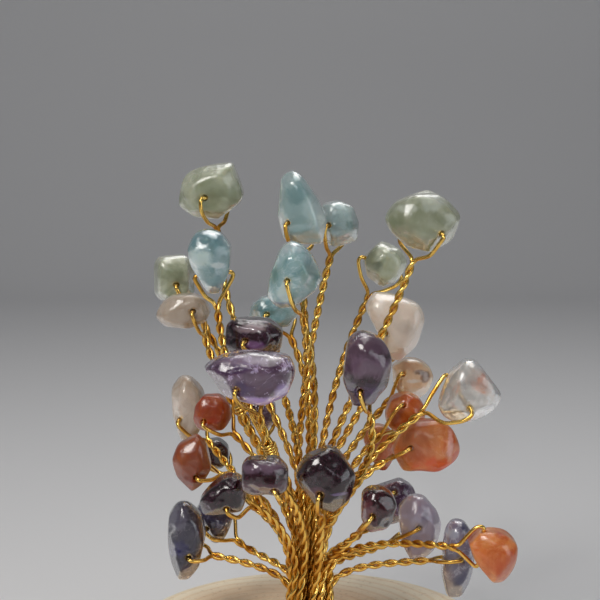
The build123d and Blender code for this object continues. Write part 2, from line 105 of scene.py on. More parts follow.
CHIPS = (
    Chip("prehnite_top_left", Stone.PREHNITE, (-0.201, 0.105, 0.888), (0.82, 0.7), 0, 0, (0.15, -0.25),
         100, 86, 62, 1, 2, 0.24, 12),
    Chip("aquamarine_pear", Stone.AQUAMARINE, (-0.198, -0.07, 0.765), (0.55, 0.79), 0, 0, (0.2, -0.4),
         190, 84, 5, 2, 7, 0.2, 12, 0.65),
    Chip("prehnite_far_left", Stone.PREHNITE, (-0.285, 0.165, 0.7), (0.5, 0.6), 0, 20, (0.4, -0.2),
         170, 62, 80, 2, 4, 0.19, 12),
    Chip("rose_quartz_oval", Stone.ROSE_QUARTZ, (-0.259, 0.05, 0.647), (0.7, 0.44), 0, 0, (0.5, 0.1),
         170, 74, 80, 2, 6, 0.18, 12),
    Chip("aqua_drop", Stone.AQUAMARINE, (-0.014, 0.017, 0.863), (0.62, 0.92), 0, 0, (-0.2, -0.4),
         150, 85, 60, 0, 0, 0.29, 12),
    Chip("aqua_behind", Stone.AQUAMARINE, (0.06, 0.133, 0.82), (0.56, 0.6), 15, 0, (-0.1, -0.2),
         20, 75, 60, 3, 5, 0.22),
    Chip("teal_front", Stone.AQUAMARINE, (-0.03, -0.1, 0.742), (0.65, 0.82), 0, 0, (-0.1, -0.1),
         185, 75, 75, 1, 4, 0.26, 12),
    Chip("teal_behind", Stone.AQUAMARINE, (-0.077, 0.19, 0.625), (0.64, 0.42), 0, 0, (0.2, 0),
         150, 60, 60, 1, 1, 0.22),
    Chip("prehnite_top_right", Stone.PREHNITE, (0.224, 0.033, 0.832), (0.95, 0.77), 0, 0, (0.1, -0.2),
         5, 70, 125, 1, 5, 0.24, 12),
    Chip("prehnite_behind", Stone.PREHNITE, (0.161, 0.215, 0.724), (0.58, 0.6), 0, 180, (0.1, -0.1),
         15, 64, 20, 1, 0, 0.23, 12),
    Chip("rose_quartz_lobed", Stone.ROSE_QUARTZ, (0.18, 0.12, 0.605), (0.8, 0.88), 0, 0, (-0.1, -0.3),
         25, 66, 60, 2, 3, 0.19),
    Chip("smoky_quartz", Stone.SMOKY_QUARTZ, (0.223, 0.21, 0.478), (0.57, 0.57), 0, 0, (-0.3, -0.1),
         20, 46, 60, 2, 2, 0.17),
    Chip("clear_quartz", Stone.CLEAR_QUARTZ, (0.312, -0.083, 0.509), (0.78, 0.79), 0, 0, (-0.4, 0.1),
         355, 38, -45, 2, 11, 0.16, 12),
    Chip("carnelian_large", Stone.CARNELIAN, (0.238, 0.017, 0.378), (0.87, 0.68), 0, 0, (-0.45, -0.1),
         0, 30, 80, 2, 0, 0.15),
    Chip("carnelian_behind", Stone.CARNELIAN, (0.2, 0.12, 0.423), (0.54, 0.5), 20, 0, (0, 0),
         21, 39, 60, 2, 1, 0.16),
    Chip("carnelian_peach", Stone.CARNELIAN, (0.152, 0.23, 0.323), (0.46, 0.62), 0, 0, (0, 0),
         45, 40, 60, 3, 4, 0.14),
    Chip("amethyst_barrel", Stone.AMETHYST_DARK, (0.111, -0.133, 0.566), (0.6, 0.91), 0, 0, (-0.2, -0.5),
         190, 76, 80, 2, 10, 0.16),
    Chip("amethyst_dark_box", Stone.AMETHYST_DARK, (-0.113, 0, 0.605), (0.72, 0.44), -3, 0, (0.1, 0),
         165, 63, 60, 1, 3, 0.19),
    Chip("amethyst_great", Stone.AMETHYST_LIGHT, (-0.118, -0.16, 0.553), (1.11, 0.66), 0, 0, (0, -0.1),
         215, 72, 60, 2, 8, 0.15),
    Chip("amethyst_lilac_tip", Stone.AMETHYST_LIGHT, (-0.101, 0.19, 0.405), (0.42, 0.42), 30, 0, (0, 0),
         100, 62, 60, 3, 6, 0.14),
    Chip("rose_quartz_left", Stone.ROSE_QUARTZ, (-0.257, 0.175, 0.42), (0.46, 0.88), 0, 0, (-0.1, -0.2),
         165, 50, 60, 3, 9, 0.13),
    Chip("carnelian_left", Stone.CARNELIAN, (-0.202, 0.085, 0.43), (0.5, 0.48), 0, 0, (0, 0),
         175, 45, 60, 2, 5, 0.14),
    Chip("carnelian_low_left", Stone.CARNELIAN, (-0.235, -0.06, 0.361), (0.48, 0.68), 0, 0, (0.1, -0.3),
         195, 14, 80, 3, 11, 0.11, 12),
    Chip("garnet_behind", Stone.GARNET, (-0.208, 0.215, 0.31), (0.44, 0.42), 0, 0, (0, 0),
         154, 50, 60, 3, 7, 0.13),
    Chip("amethyst_small_box", Stone.AMETHYST_DARK, (-0.085, -0.235, 0.378), (0.53, 0.43), 0, 0, (0, 0),
         240, 35, 90, 3, 13, 0.125),
    Chip("amethyst_dark_left", Stone.AMETHYST_DARK, (-0.168, -0.16, 0.324), (0.57, 0.47), 0, 180, (-0.1, 0),
         215, 30, 60, 3, 12, 0.105),
    Chip("amethyst_great_dark", Stone.AMETHYST_DARK, (0.03, -0.15, 0.352), (0.72, 0.78), 0, 0, (0, -0.2),
         285, 72, 75, 3, 15, 0.09),
    Chip("amethyst_red", Stone.GARNET, (0.131, -0.16, 0.293), (0.44, 0.53), 5, 0, (0, 0),
         325, 50, 80, 3, 16, 0.12),
    Chip("smoky_amethyst", Stone.AMETHYST_LIGHT, (0.187, 0.22, 0.205), (0.6, 0.54), 20, 0, (0, 0),
         30, 37, 60, 3, 3, 0.105),
    Chip("fluorite_lilac", Stone.FLUORITE, (0.234, 0.12, 0.172), (0.57, 0.88), 0, 0, (-0.2, 0),
         15, 25, 80, 3, 2, 0.1),
    Chip("iolite_long", Stone.IOLITE, (0.306, 0.03, 0.134), (0.43, 1.04), 0, 0, (0.2, 0),
         358, 5, 80, 3, 1, 0.075, 12),
    Chip("carnelian_far_right", Stone.CARNELIAN, (0.366, -0.07, 0.173), (0.6, 0.67), 0, 0, (-0.5, 0.1),
         355, -8, 5, 3, 0, 0.115, 12),
    Chip("fluorite_banded", Stone.FLUORITE, (-0.254, 0.02, 0.179), (0.5, 1.04), 0, 0, (0.2, -0.3),
         180, 12, 80, 3, 10, 0.075, 12),
    Chip("fluorite_grey", Stone.FLUORITE, (-0.202, 0.133, 0.182), (0.5, 0.52), 0, 0, (0, 0),
         160, 35, 60, 3, 8, 0.085),
)

SHARED_WIRES = (
    ("prehnite_far_left", "rose_quartz_oval"),
    ("aqua_drop", "aqua_behind"),
    ("teal_front", "teal_behind"),
    ("rose_quartz_lobed", "smoky_quartz"),
    ("carnelian_behind", "carnelian_peach"),
    ("amethyst_dark_box", "amethyst_lilac_tip"),
    ("rose_quartz_left", "carnelian_left"),
    ("carnelian_low_left", "garnet_behind"),
    ("amethyst_small_box", "amethyst_dark_left"),
    ("amethyst_red", "smoky_amethyst"),
    ("fluorite_banded", "fluorite_grey"),
)


def linear(red: float, green: float, blue: float) -> Colour:
    """A colour as the eye reads it, 0 to 255, turned to the linear values that shaders take."""
    return tuple((channel / 255) ** 2.2 for channel in (red, green, blue))


def unit(vectors: np.ndarray) -> np.ndarray:
    """The vectors at length one, along their last axis."""
    vectors = np.asarray(vectors, float)
    return vectors / np.linalg.norm(vectors, axis=-1, keepdims=True)


def turned(vector: np.ndarray, axis: np.ndarray, degrees: float) -> np.ndarray:
    """The vector turned about a unit axis."""
    angle = math.radians(degrees)
    along = axis * np.dot(axis, vector)
    return along + (vector - along) * math.cos(angle) + np.cross(axis, vector) * math.sin(angle)


def seed_of(name: str) -> int:
    """A number that is the same each time for one name."""
    return sum(ord(letter) * (place + 1) for place, letter in enumerate(name))


def body_of(node: str) -> str:
    """The frame's body that carries a node."""
    return next(body for body, nodes in frame["record"]["behaviour"]["bodies"].items() if node in nodes)


def travelled(points: np.ndarray) -> np.ndarray:
    """The length along a line from its first point to each of its points."""
    return np.concatenate([[0], np.cumsum(np.linalg.norm(np.diff(points, axis=0), axis=1))])


def points_at(stops: np.ndarray, travel: np.ndarray, points: np.ndarray) -> np.ndarray:
    """The points of a line where its travel reaches the stops."""
    return np.stack([np.interp(stops, travel, points[:, axis]) for axis in range(3)], axis=-1)


def evened(points: np.ndarray, spacing: float) -> np.ndarray:
    """A line cut into even steps, as near to the spacing as fits."""
    travel = travelled(points)
    return points_at(np.linspace(0, travel[-1], round(travel[-1] / spacing) + 1), travel, points)


def spokes_about(ways: np.ndarray, first: np.ndarray, angle: np.ndarray) -> np.ndarray:
    """Directions that wind about a line by an angle at each point.

    The first side direction is carried along the line without turning about it, and the angle starts from it.
    """
    side = [first]
    for way in ways[1:]:
        side.append(unit(side[-1] - way * np.dot(side[-1], way)))
    side = np.array(side)
    return side * np.cos(angle)[:, None] + np.cross(ways, side) * np.sin(angle)[:, None]


@dataclass
class Surface:
    """Points and faces of a closed form."""

    points: np.ndarray
    faces: list[list[int]]

    def joined(self, other: "Surface") -> "Surface":
        """This form and another as one."""
        shift = len(self.points)
        moved = [[corner + shift for corner in face] for face in other.faces]
        return Surface(np.concatenate([self.points, other.points]), self.faces + moved)


def grid_surface(points: np.ndarray, ring: bool = False) -> Surface:
    """A closed form from a grid of points, each row a closed loop joined to the next by four-sided faces.

    Args:
        points: rows by columns by 3.
        ring: whether the last row meets the first. If not, flat faces close the first and last row.

    Returns:
        The form, with its faces outward when the rows turn right-handed about the way they advance.
    """
    rows, columns = points.shape[:2]
    index = np.arange(rows * columns).reshape(rows, columns)
    wrapped = np.concatenate([index, index[:, :1]], axis=1)
    if ring:
        wrapped = np.concatenate([wrapped, wrapped[:1]], axis=0)
    corners = (wrapped[:-1, :-1], wrapped[:-1, 1:], wrapped[1:, 1:], wrapped[1:, :-1])
    faces = np.stack(corners, axis=-1).reshape(-1, 4).tolist()
    if not ring:
        faces += [index[0, ::-1].tolist(), index[-1].tolist()]
    return Surface(points.reshape(-1, 3), faces)


def piece_of(name: str, surface: Surface, material: bpy.types.Material) -> bpy.types.Object:
    """A Blender object in the scene, with the form's mesh shaded smooth and one material."""
    mesh = bpy.data.meshes.new(name)
    mesh.from_pydata(surface.points.tolist(), [], surface.faces)
    mesh.materials.append(material)
    mesh.polygons.foreach_set("use_smooth", np.full(len(mesh.polygons), True))
    mesh.update()
    piece = bpy.data.objects.new(name, mesh)
    bpy.context.scene.collection.objects.link(piece)
    return piece


class Nodes:
    """A node tree with short ways to add nodes and join sockets."""

    def __init__(self, tree: bpy.types.NodeTree) -> None:
        """Keeps the tree that the nodes go into."""
        self.tree = tree

    def feed(self, socket: bpy.types.NodeSocket, value: Feed) -> None:
        """Joins a socket to another, or sets it to a value; a colour gets its fourth channel."""
        if isinstance(value, bpy.types.NodeSocket):
            self.tree.links.new(value, socket)
        else:
            socket.default_value = (*value, 1) if socket.type == "RGBA" else value

    def add(self, kind: str, inputs: dict | None = None, **settings) -> bpy.types.Node:
        """A node of a kind.

        Args:
            kind: the node's type name.
            inputs: values or sockets, by input name or place.
            settings: the node's own properties.

        Returns:
            The node.
        """
        node = self.tree.nodes.new(kind)
        for key, value in settings.items():
            setattr(node, key, value)
        for key, value in (inputs or {}).items():
            self.feed(node.inputs[key], value)
        return node

    def maths(self, operation: str, first: Feed, second: Feed = 0.0, third: Feed = 0.0) -> bpy.types.NodeSocket:
        """The result of a sum on one, two or three numbers."""
        return self.add("ShaderNodeMath", {0: first, 1: second, 2: third}, operation=operation).outputs[0]

    def vectors(self, operation: str, first: Feed, second: Feed = (0.0, 0.0, 0.0)) -> bpy.types.NodeSocket:
        """The result of a sum on one or two vectors."""
        node = self.add("ShaderNodeVectorMath", {0: first, 1: second}, operation=operation)
        return node.outputs["Value" if operation == "LENGTH" else 0]

    def mixed(self, share: Feed, first: Feed, second: Feed) -> bpy.types.NodeSocket:
        """Two colours mixed by a share. The node's colour inputs are its seventh and eighth."""
        return self.add("ShaderNodeMix", {0: share, 6: first, 7: second}, data_type="RGBA").outputs[2]

    def ranged(self, value: Feed, low: float, high: float) -> bpy.types.NodeSocket:
        """A value moved smoothly from a range to 0 to 1, and held there."""
        inputs = {0: value, 1: low, 2: high}
        return self.add("ShaderNodeMapRange", inputs, interpolation_type="SMOOTHSTEP").outputs[0]

    def noise(self, where: Feed, scale: Feed, detail: float, rough=0.5, bend=0.0) -> bpy.types.NodeSocket:
        """A soft noise, its roughness and bend as shares."""
        values = {"Vector": where, "Scale": scale, "Detail": detail, "Roughness": rough, "Distortion": bend}
        return self.add("ShaderNodeTexNoise", values).outputs[0]


class Paint:
    """A material under way: its nodes and the object's own coordinates."""

    def __init__(self, name: str) -> None:
        """Starts the material."""
        self.material = bpy.data.materials.new(name)
        self.material.use_nodes = True
        self.nodes = Nodes(self.material.node_tree)
        self.where = self.nodes.add("ShaderNodeTexCoord").outputs["Object"]

    def finished(self, colour: Feed, rough: Feed, relief: dict, more: dict | None = None) -> bpy.types.Material:
        """Feeds the shader.

        Args:
            colour: base colour.
            rough: roughness.
            relief: inputs of a bump, by name.
            more: values of the shader's other sockets, by name.

        Returns:
            The material.
        """
        shader = self.material.node_tree.nodes["Principled BSDF"]
        bump = self.nodes.add("ShaderNodeBump", relief).outputs[0]
        for label, value in {"Base Color": colour, "Roughness": rough, "Normal": bump, **(more or {})}.items():
            self.nodes.feed(shader.inputs[label], value)
        return self.material


class SocketKind(Enum):
    """Kinds of socket on a node group."""

    NUMBER = "NodeSocketFloat"
    COLOUR = "NodeSocketColor"
    VECTOR = "NodeSocketVector"


def group_of(name: str, inputs: dict[str, SocketKind],
             outputs: dict[str, SocketKind]) -> tuple[Nodes, bpy.types.Node, bpy.types.Node]:
    """An empty shader node group with named sockets.

    Args:
        name: the group's name.
        inputs: kinds of its inputs by name.
        outputs: kinds of its outputs by name.

    Returns:
        The group's nodes, its input node and its output node.
    """
    tree = bpy.data.node_groups.new(name, "ShaderNodeTree")
    for way, sockets in (("INPUT", inputs), ("OUTPUT", outputs)):
        for label, kind in sockets.items():
            tree.interface.new_socket(label, in_out=way, socket_type=kind.value)
    nodes = Nodes(tree)
    return nodes, nodes.add("NodeGroupInput"), nodes.add("NodeGroupOutput")


def stone_body_group() -> bpy.types.NodeTree:
    """Colour and relief of a polished, half-clear stone.

    Clouds of soft noise run from the deep colour to the pale one. Warped bands along the chip lay the band
    colour over them. Veils are thin pale sheets along the middle value of a noise, broken up by the clouds, and
    flecks are the peaks of a fine noise. The relief is the polish's ripple, and the ragged value is there for
    the edges of patches.
    """
    number, colour, vector = SocketKind.NUMBER, SocketKind.COLOUR, SocketKind.VECTOR
    inputs = {"Place": vector} | dict.fromkeys(("Deep", "Pale", "Band", "Fleck"), colour)
    inputs |= dict.fromkeys(("Seed", "Cloud scale", "Band scale", "Band share", "Veil share", "Fleck scale",
                             "Fleck share"), number)
    outputs = {"Color": colour, "Flecks": number, "Ragged": number, "Height": number}
    nodes, start, end = group_of("stone_body", inputs, outputs)
    take = start.outputs
    seed = nodes.add("ShaderNodeCombineXYZ", dict.fromkeys(range(3), take["Seed"])).outputs[0]
    place = nodes.vectors("ADD", take["Place"], seed)
    clouds = nodes.noise(place, take["Cloud scale"], 3.0, 0.58, 0.9)
    body = nodes.mixed(nodes.ranged(clouds, 0.35, 0.68), take["Deep"], take["Pale"])
    wave = nodes.add("ShaderNodeTexWave", {"Vector": place, "Scale": take["Band scale"], "Distortion": 3.2,
                                           "Detail": 1.0, "Detail Scale": 0.8}, bands_direction="DIAGONAL")
    bands = nodes.maths("MULTIPLY", nodes.ranged(wave.outputs[1], 0.45, 0.8), take["Band share"])
    body = nodes.mixed(bands, body, take["Band"])
    ragged = nodes.noise(place, 2.2, 3.0, 0.6, 0.8)
    sheet = nodes.maths("ABSOLUTE", nodes.maths("SUBTRACT", ragged, 0.5))
    veils = nodes.maths("MULTIPLY", nodes.ranged(sheet, 0.035, 0.0), nodes.ranged(clouds, 0.44, 0.6))
    body = nodes.mixed(nodes.maths("MULTIPLY", veils, take["Veil share"]), body, take["Fleck"])
    specks = nodes.noise(place, take["Fleck scale"], 2.0, 0.7)
    flecks = nodes.maths("MULTIPLY", nodes.ranged(specks, 0.60, 0.68), take["Fleck share"])
    body = nodes.mixed(flecks, body, take["Fleck"])
    for label, value in zip(outputs, (body, flecks, ragged, nodes.noise(place, 3.0, 1.0))):
        nodes.feed(end.inputs[label], value)
    return nodes.tree


def stone_patch_group() -> bpy.types.NodeTree:
    """A soft-edged patch of another colour laid over a stone's own; some patches are painted highlights, painted
    reflections and a painted glow.

    The distance is the length of (place - middle) / reach with the ragged noise added, and the patch fades out
    as it goes from a half to a little over one.
    """
    number, colour, vector = SocketKind.NUMBER, SocketKind.COLOUR, SocketKind.VECTOR
    inputs = dict.fromkeys(("Place", "Middle", "Reach"), vector) | dict.fromkeys(("Body", "Patch"), colour)
    inputs |= dict.fromkeys(("Ragged", "Share"), number)
    nodes, start, end = group_of("stone_patch", inputs, {"Color": colour})
    take = start.outputs
    shares = nodes.vectors("DIVIDE", nodes.vectors("SUBTRACT", take["Place"], take["Middle"]), take["Reach"])
    ragged = nodes.maths("SUBTRACT", take["Ragged"], 0.5)
    distance = nodes.maths("MULTIPLY_ADD", ragged, 1.5, nodes.vectors("LENGTH", shares))
    share = nodes.maths("MULTIPLY", nodes.ranged(distance, 1.15, 0.5), take["Share"])
    nodes.feed(end.inputs["Color"], nodes.mixed(share, take["Body"], take["Patch"]))
    return nodes.tree


@dataclass(frozen=True)
class StoneFinish:
    """How one kind of stone looks. Its colours are as the eye reads them, 0 to 255.

    deep, pale: ends of its cloudy colour
    fleck: colour of its veils and flecks
    clear: how much light goes through it, 0 to 1
    roughness: of the body under the polish
    cloud_scale: clouds across half a chip
    band: colour of its bands
    band_scale, band_share, veil_share, fleck_scale, fleck_share: how much of each, and how fine
    seeds, seed_step: how many patterns there are, and how far each lies from the next
    fleck_roughness: what a fleck adds to the roughness
    ripple_share, scatter_share: depth of the relief and of the light's scatter, as shares of half a chip
    """

    deep: Colour
    pale: Colour
    fleck: Colour
    clear: float
    roughness: float
    cloud_scale: float = 1.1
    band: Colour = (0, 0, 0)
    band_scale: float = 0.6
    band_share: float = 0.0
    veil_share: float = 0.3
    fleck_scale: float = 9.0
    fleck_share: float = 0.2
    seeds = 97
    seed_step = 0.37
    fleck_roughness = 0.15
    ripple_share = 0.08
    scatter_share = 0.3

    def material(self, place: "ChipPlace", half: float, groups: "StoneGroups") -> bpy.types.Material:
        """The finish on one chip, with its pattern centred on it and turned with it.

        Args:
            place: where the chip is.
            half: half the chip's longer side.
            groups: the shared node groups.

        Returns:
            The material.
        """
        chip = place.chip.name
        paint = Paint("stone_" + chip)
        nodes = paint.nodes
        axes = place.axes[[0, 2, 1]]
        turn = Matrix([list(row) for row in axes]).to_euler()
        local = nodes.add("ShaderNodeMapping", {
            "Vector": paint.where, "Location": tuple(-(axes @ place.middle) / half), "Rotation": tuple(turn),
            "Scale": (1 / half,) * 3}).outputs[0]
        inputs = {"Place": local, "Seed": (seed_of(chip) % self.seeds) * self.seed_step}
        inputs |= {label.title(): linear(*getattr(self, label)) for label in ("deep", "pale", "band", "fleck")}
        for label in ("cloud_scale", "band_scale", "band_share", "veil_share", "fleck_scale", "fleck_share"):
            inputs[label.capitalize().replace("_", " ")] = getattr(self, label)
        body = nodes.add("ShaderNodeGroup", inputs, node_tree=groups.body)
        colour = body.outputs["Color"]
        # Each patch lays another colour of the stone or, in the rows marked so, a painted highlight, painted
        # reflection or painted glow.
        for patch in PATCHES_AND_PAINTED_LIGHT.get(chip, ()):
            shares = [share / 100 for share in patch[:-4] or WHOLE]
            colour = nodes.add("ShaderNodeGroup", {
                "Place": local, "Ragged": body.outputs["Ragged"], "Body": colour, "Middle": tuple(shares[:3]),
                "Reach": tuple(shares[3:]), "Patch": linear(*patch[-4:-1]), "Share": patch[-1] / 100,
            }, node_tree=groups.patch).outputs["Color"]
        rough = nodes.maths("MULTIPLY_ADD", body.outputs["Flecks"], self.fleck_roughness, self.roughness)
        relief = {"Height": body.outputs["Height"], "Strength": 0.6, "Distance": half * self.ripple_share}
        return paint.finished(colour, rough, relief, {
            "IOR": 1.5, "Coat Weight": 0.6, "Coat Roughness": 0.05, "Transmission Weight": self.clear,
            "Subsurface Weight": 1.0, "Subsurface Radius": (1.0, 0.85, 0.75),
            "Subsurface Scale": half * self.scatter_share,
        })


class StoneGroups:
    """The node groups that every stone shares."""

    def __init__(self) -> None:
        """Builds them once."""
        self.body = stone_body_group()
        self.patch = stone_patch_group()


FINISHES = {
    Stone.PREHNITE: StoneFinish(
        (158, 166, 136), (206, 210, 186), (226, 230, 212), 0.55, 0.3,
        veil_share=0.35, fleck_share=0.12, fleck_scale=5.0),
    Stone.AQUAMARINE: StoneFinish(
        (124, 166, 170), (182, 210, 212), (236, 246, 246), 0.55, 0.2, veil_share=0.5, fleck_share=0.15),
    Stone.ROSE_QUARTZ: StoneFinish((184, 166, 148), (214, 200, 186), (180, 162, 150), 0.3, 0.3, fleck_share=0.15),
    Stone.SMOKY_QUARTZ: StoneFinish((190, 150, 118), (234, 212, 186), (244, 236, 226), 0.45, 0.2, 1.4),
    Stone.CLEAR_QUARTZ: StoneFinish(
        (214, 210, 204), (244, 242, 238), (255, 255, 255), 0.72, 0.12,
        veil_share=0.9, fleck_share=0.7, fleck_scale=4.5),
    Stone.CARNELIAN: StoneFinish((186, 84, 8), (212, 134, 72), (232, 178, 140), 0.12, 0.3, fleck_share=0.1),
    Stone.AMETHYST_LIGHT: StoneFinish(
        (76, 50, 74), (134, 112, 134), (222, 206, 240), 0.4, 0.18, veil_share=0.8, fleck_share=0.55),
    Stone.AMETHYST_DARK: StoneFinish(
        (34, 10, 18), (64, 34, 48), (140, 118, 142), 0.2, 0.18, veil_share=0.35, fleck_share=0.08),
    Stone.GARNET: StoneFinish((38, 8, 12), (72, 28, 34), (150, 114, 122), 0.2, 0.16, fleck_share=0.08),
    Stone.FLUORITE: StoneFinish(
        (58, 52, 70), (102, 96, 116), (204, 202, 218), 0.4, 0.16,
        band=(48, 44, 84), band_share=0.35, band_scale=0.45, veil_share=0.5),
    Stone.IOLITE: StoneFinish(
        (84, 80, 104), (146, 140, 160), (214, 214, 226), 0.35, 0.16,
        veil_share=0.5, fleck_share=0.4, fleck_scale=7.0),
}

# Patches of another colour inside one chip; some rows are painted light, marked where they stand: painted
# highlights, painted reflections and a painted glow. A row is the patch's middle and its reach, each right, back and
# up in hundredths of half the chip's longer side, then red, green and blue, and the patch's strength in hundredths.
# A row of four leaves the middle and reach out and covers the whole chip.
WHOLE = (0, 0, 0, 200, 200, 200)
PATCHES_AND_PAINTED_LIGHT = {
    "prehnite_top_left": (
        # The second row is a painted highlight: a faint short pale streak at the upper right.
        (-5, -30, -35, 55, 100, 35, 140, 142, 104, 50), (68, -20, 45, 18, 80, 30, 222, 226, 206, 60),
        (-45, -20, -72, 50, 100, 16, 206, 210, 182, 50),
    ),
    "aquamarine_pear": (
        (132, 158, 162, 50), (-10, 0, 75, 90, 150, 40, 104, 146, 156, 70),
        # These two near-white rows at the front are painted reflections inside the stone.
        (-20, -50, 12, 42, 100, 30, 232, 246, 244, 85), (32, -50, -10, 25, 80, 12, 240, 248, 248, 80),
    ),
    "prehnite_far_left": (
        (10, -30, -10, 30, 80, 35, 124, 128, 106, 40),
    ),
    "aqua_drop": (
        (190, 206, 204, 60), (-20, -30, 35, 35, 100, 35, 112, 150, 152, 60),
        # The near-white row at the left is a painted highlight, a soft window's reflection.
        (25, -50, -10, 35, 80, 35, 214, 230, 228, 50), (-53, -20, -45, 18, 100, 42, 238, 248, 246, 90),
    ),
    "aqua_behind": (
        (196, 210, 208, 70), (40, -30, -20, 30, 100, 25, 110, 144, 140, 70),
        (40, -30, 50, 50, 100, 20, 212, 230, 228, 50),
    ),
    "teal_front": (
        (-68, 0, 15, 35, 120, 50, 128, 158, 144, 60), (45, -20, -5, 30, 100, 50, 138, 160, 144, 50),
        # The near-white row at the lower left is a painted highlight.
        (-5, -30, 85, 55, 120, 30, 210, 222, 226, 60), (-26, -50, -42, 22, 90, 38, 236, 248, 246, 85),
    ),
    "prehnite_top_right": (
        (150, 154, 128, 50), (-55, -30, -10, 40, 100, 35, 140, 146, 112, 50),
        # These two pale rows on the top are partly the stone's paler ridges and partly painted highlights.
        (20, -30, 50, 35, 90, 25, 218, 224, 214, 60), (-40, -40, 35, 35, 80, 12, 222, 228, 216, 60),
    ),
    "prehnite_behind": (
        (204, 210, 182, 50), (40, 40, 0, 30, 100, 30, 112, 122, 106, 60),
        (-20, 40, 45, 25, 80, 15, 214, 220, 210, 60),
    ),
    "rose_quartz_lobed": (
        (246, 232, 218, 70), (25, -30, 0, 35, 100, 25, 190, 176, 164, 50),
        (-50, -40, 60, 30, 90, 25, 242, 234, 226, 60),
    ),
    "smoky_quartz": (
        (250, 216, 178, 80), (-30, -20, 65, 60, 100, 25, 210, 158, 124, 60),
        (-5, -30, -60, 60, 100, 35, 238, 224, 204, 70), (22, -40, 38, 30, 100, 14, 110, 84, 68, 80),
        (50, -40, 16, 26, 100, 28, 100, 78, 66, 80), (0, -50, 0, 35, 80, 12, 248, 242, 234, 80),
    ),
    "clear_quartz": (
        (32, 0, 30, 45, 90, 42, 236, 176, 150, 85), (-45, 0, 13, 15, 60, 25, 240, 176, 150, 80),
        (33, -10, 12, 16, 60, 16, 222, 126, 36, 95), (-15, 0, 30, 24, 70, 20, 84, 92, 98, 80),
        (35, 0, -38, 50, 80, 14, 96, 98, 100, 75),
    ),
    "carnelian_large": (
        (-30, -30, 25, 70, 100, 40, 206, 138, 98, 50), (20, -20, -55, 75, 100, 30, 212, 86, 0, 95),
        (80, -20, -30, 20, 100, 25, 184, 56, 16, 70), (60, -50, 12, 10, 60, 40, 230, 186, 178, 60),
    ),
    "amethyst_barrel": (
        (0, 0, 62, 120, 140, 40, 106, 84, 100, 70), (0, -20, 10, 120, 120, 35, 144, 118, 140, 50),
        (0, 0, -70, 120, 140, 42, 66, 38, 82, 80),
    ),
    "amethyst_dark_box": (
        # The second row is painted light: a brighter purple glow low in the middle, where light passes through the
        # stone.
        (-12, -50, 30, 50, 80, 16, 176, 158, 164, 75), (10, -50, -25, 40, 80, 20, 136, 96, 144, 70),
    ),
    "amethyst_great": (
        (-5, -50, 37, 50, 80, 12, 160, 144, 168, 60), (-30, -50, 22, 30, 70, 10, 78, 50, 90, 75),
        (-15, -60, -20, 15, 70, 20, 70, 44, 96, 80), (5, -60, -28, 12, 60, 15, 84, 64, 98, 70),
        # These two pale lilac rows along the lower edge are painted sparkle, a painted highlight.
        (32, -40, -50, 55, 120, 17, 212, 188, 246, 90), (75, -30, -30, 22, 100, 22, 206, 184, 240, 70),
    ),
    "carnelian_left": (
        (138, 46, 6, 80), (-5, -30, -40, 50, 100, 40, 168, 54, 8, 70),
    ),
    "carnelian_low_left": (
        (126, 58, 26, 85), (0, 0, -65, 100, 140, 40, 112, 34, 12, 80),
    ),
    "amethyst_small_box": (
        (52, 14, 20, 70), (0, -30, 45, 120, 120, 30, 136, 112, 132, 60), (0, -30, -40, 120, 120, 35, 96, 46, 64, 60),
    ),
    "rose_quartz_oval": (
        (168, 152, 134, 70),
    ),
    "amethyst_great_dark": (
        (34, 6, 10, 70), (-35, -50, -30, 30, 80, 20, 106, 60, 80, 60), (40, -60, -35, 25, 60, 6, 128, 106, 150, 70),
    ),
    "amethyst_red": (
        (-50, -30, -10, 50, 100, 70, 124, 72, 82, 60), (30, -30, 0, 40, 100, 80, 54, 24, 30, 70),
        (0, -30, -90, 100, 100, 20, 148, 92, 136, 60),
    ),
    "fluorite_lilac": (
        (196, 184, 200, 90), (-30, -40, 25, 40, 100, 40, 186, 182, 204, 60),
        (-25, -30, -65, 40, 100, 25, 172, 158, 188, 50), (10, -40, 40, 12, 80, 30, 108, 102, 130, 60),
        (45, -30, -45, 20, 100, 20, 58, 54, 108, 85),
    ),
    "iolite_long": (
        (0, 0, -60, 60, 120, 40, 72, 74, 106, 60), (-20, -40, 68, 25, 80, 12, 192, 200, 216, 70),
        (13, -40, 83, 10, 70, 10, 54, 56, 90, 70),
    ),
    "carnelian_far_right": (
        (-50, -40, 25, 30, 90, 35, 216, 122, 56, 50),
    ),
    "fluorite_banded": (
        (48, 44, 60, 70), (-20, -30, 55, 30, 100, 30, 140, 136, 152, 50),
        (-12, -30, -16, 22, 100, 22, 48, 44, 98, 85), (-30, -30, -22, 15, 100, 15, 52, 48, 100, 70),
        (3, -30, -66, 20, 100, 12, 56, 54, 96, 70), (0, -30, -90, 35, 100, 10, 176, 176, 186, 60),
    ),
}


@dataclass(frozen=True)
class WireSizes:
    """Sizes of the wire, its loops and the trunk, in metres."""

    diameter: float = 0.0005
    strand_gap: float = 0.00002
    lay_length: float = 0.0036
    rod_width: float = 0.00080
    rod_gap: float = 0.00005
    leave_step: float = 0.00034
    stub_length: float = 0.0003
    loop_gap: float = 0.00018
    corner_cut: float = 0.00022
    fork_drop: float = 0.0005
    loop_samples: int = 60
    trunk_rings: int = 3
    trunk_turn_share: float = 0.10
    gather_share: float = 0.16
    leave_handle_share: float = 0.25

    @property
    def radius(self) -> float:
        """Radius of the wire."""
        return self.diameter / 2

    @property
    def pitch(self) -> float:
        """Distance between neighbouring stems in the trunk."""
        return self.rod_width + self.rod_gap

    @property
    def trunk_radius(self) -> float:
        """Radius of the whole trunk."""
        return self.trunk_rings * self.pitch + self.rod_width / 2


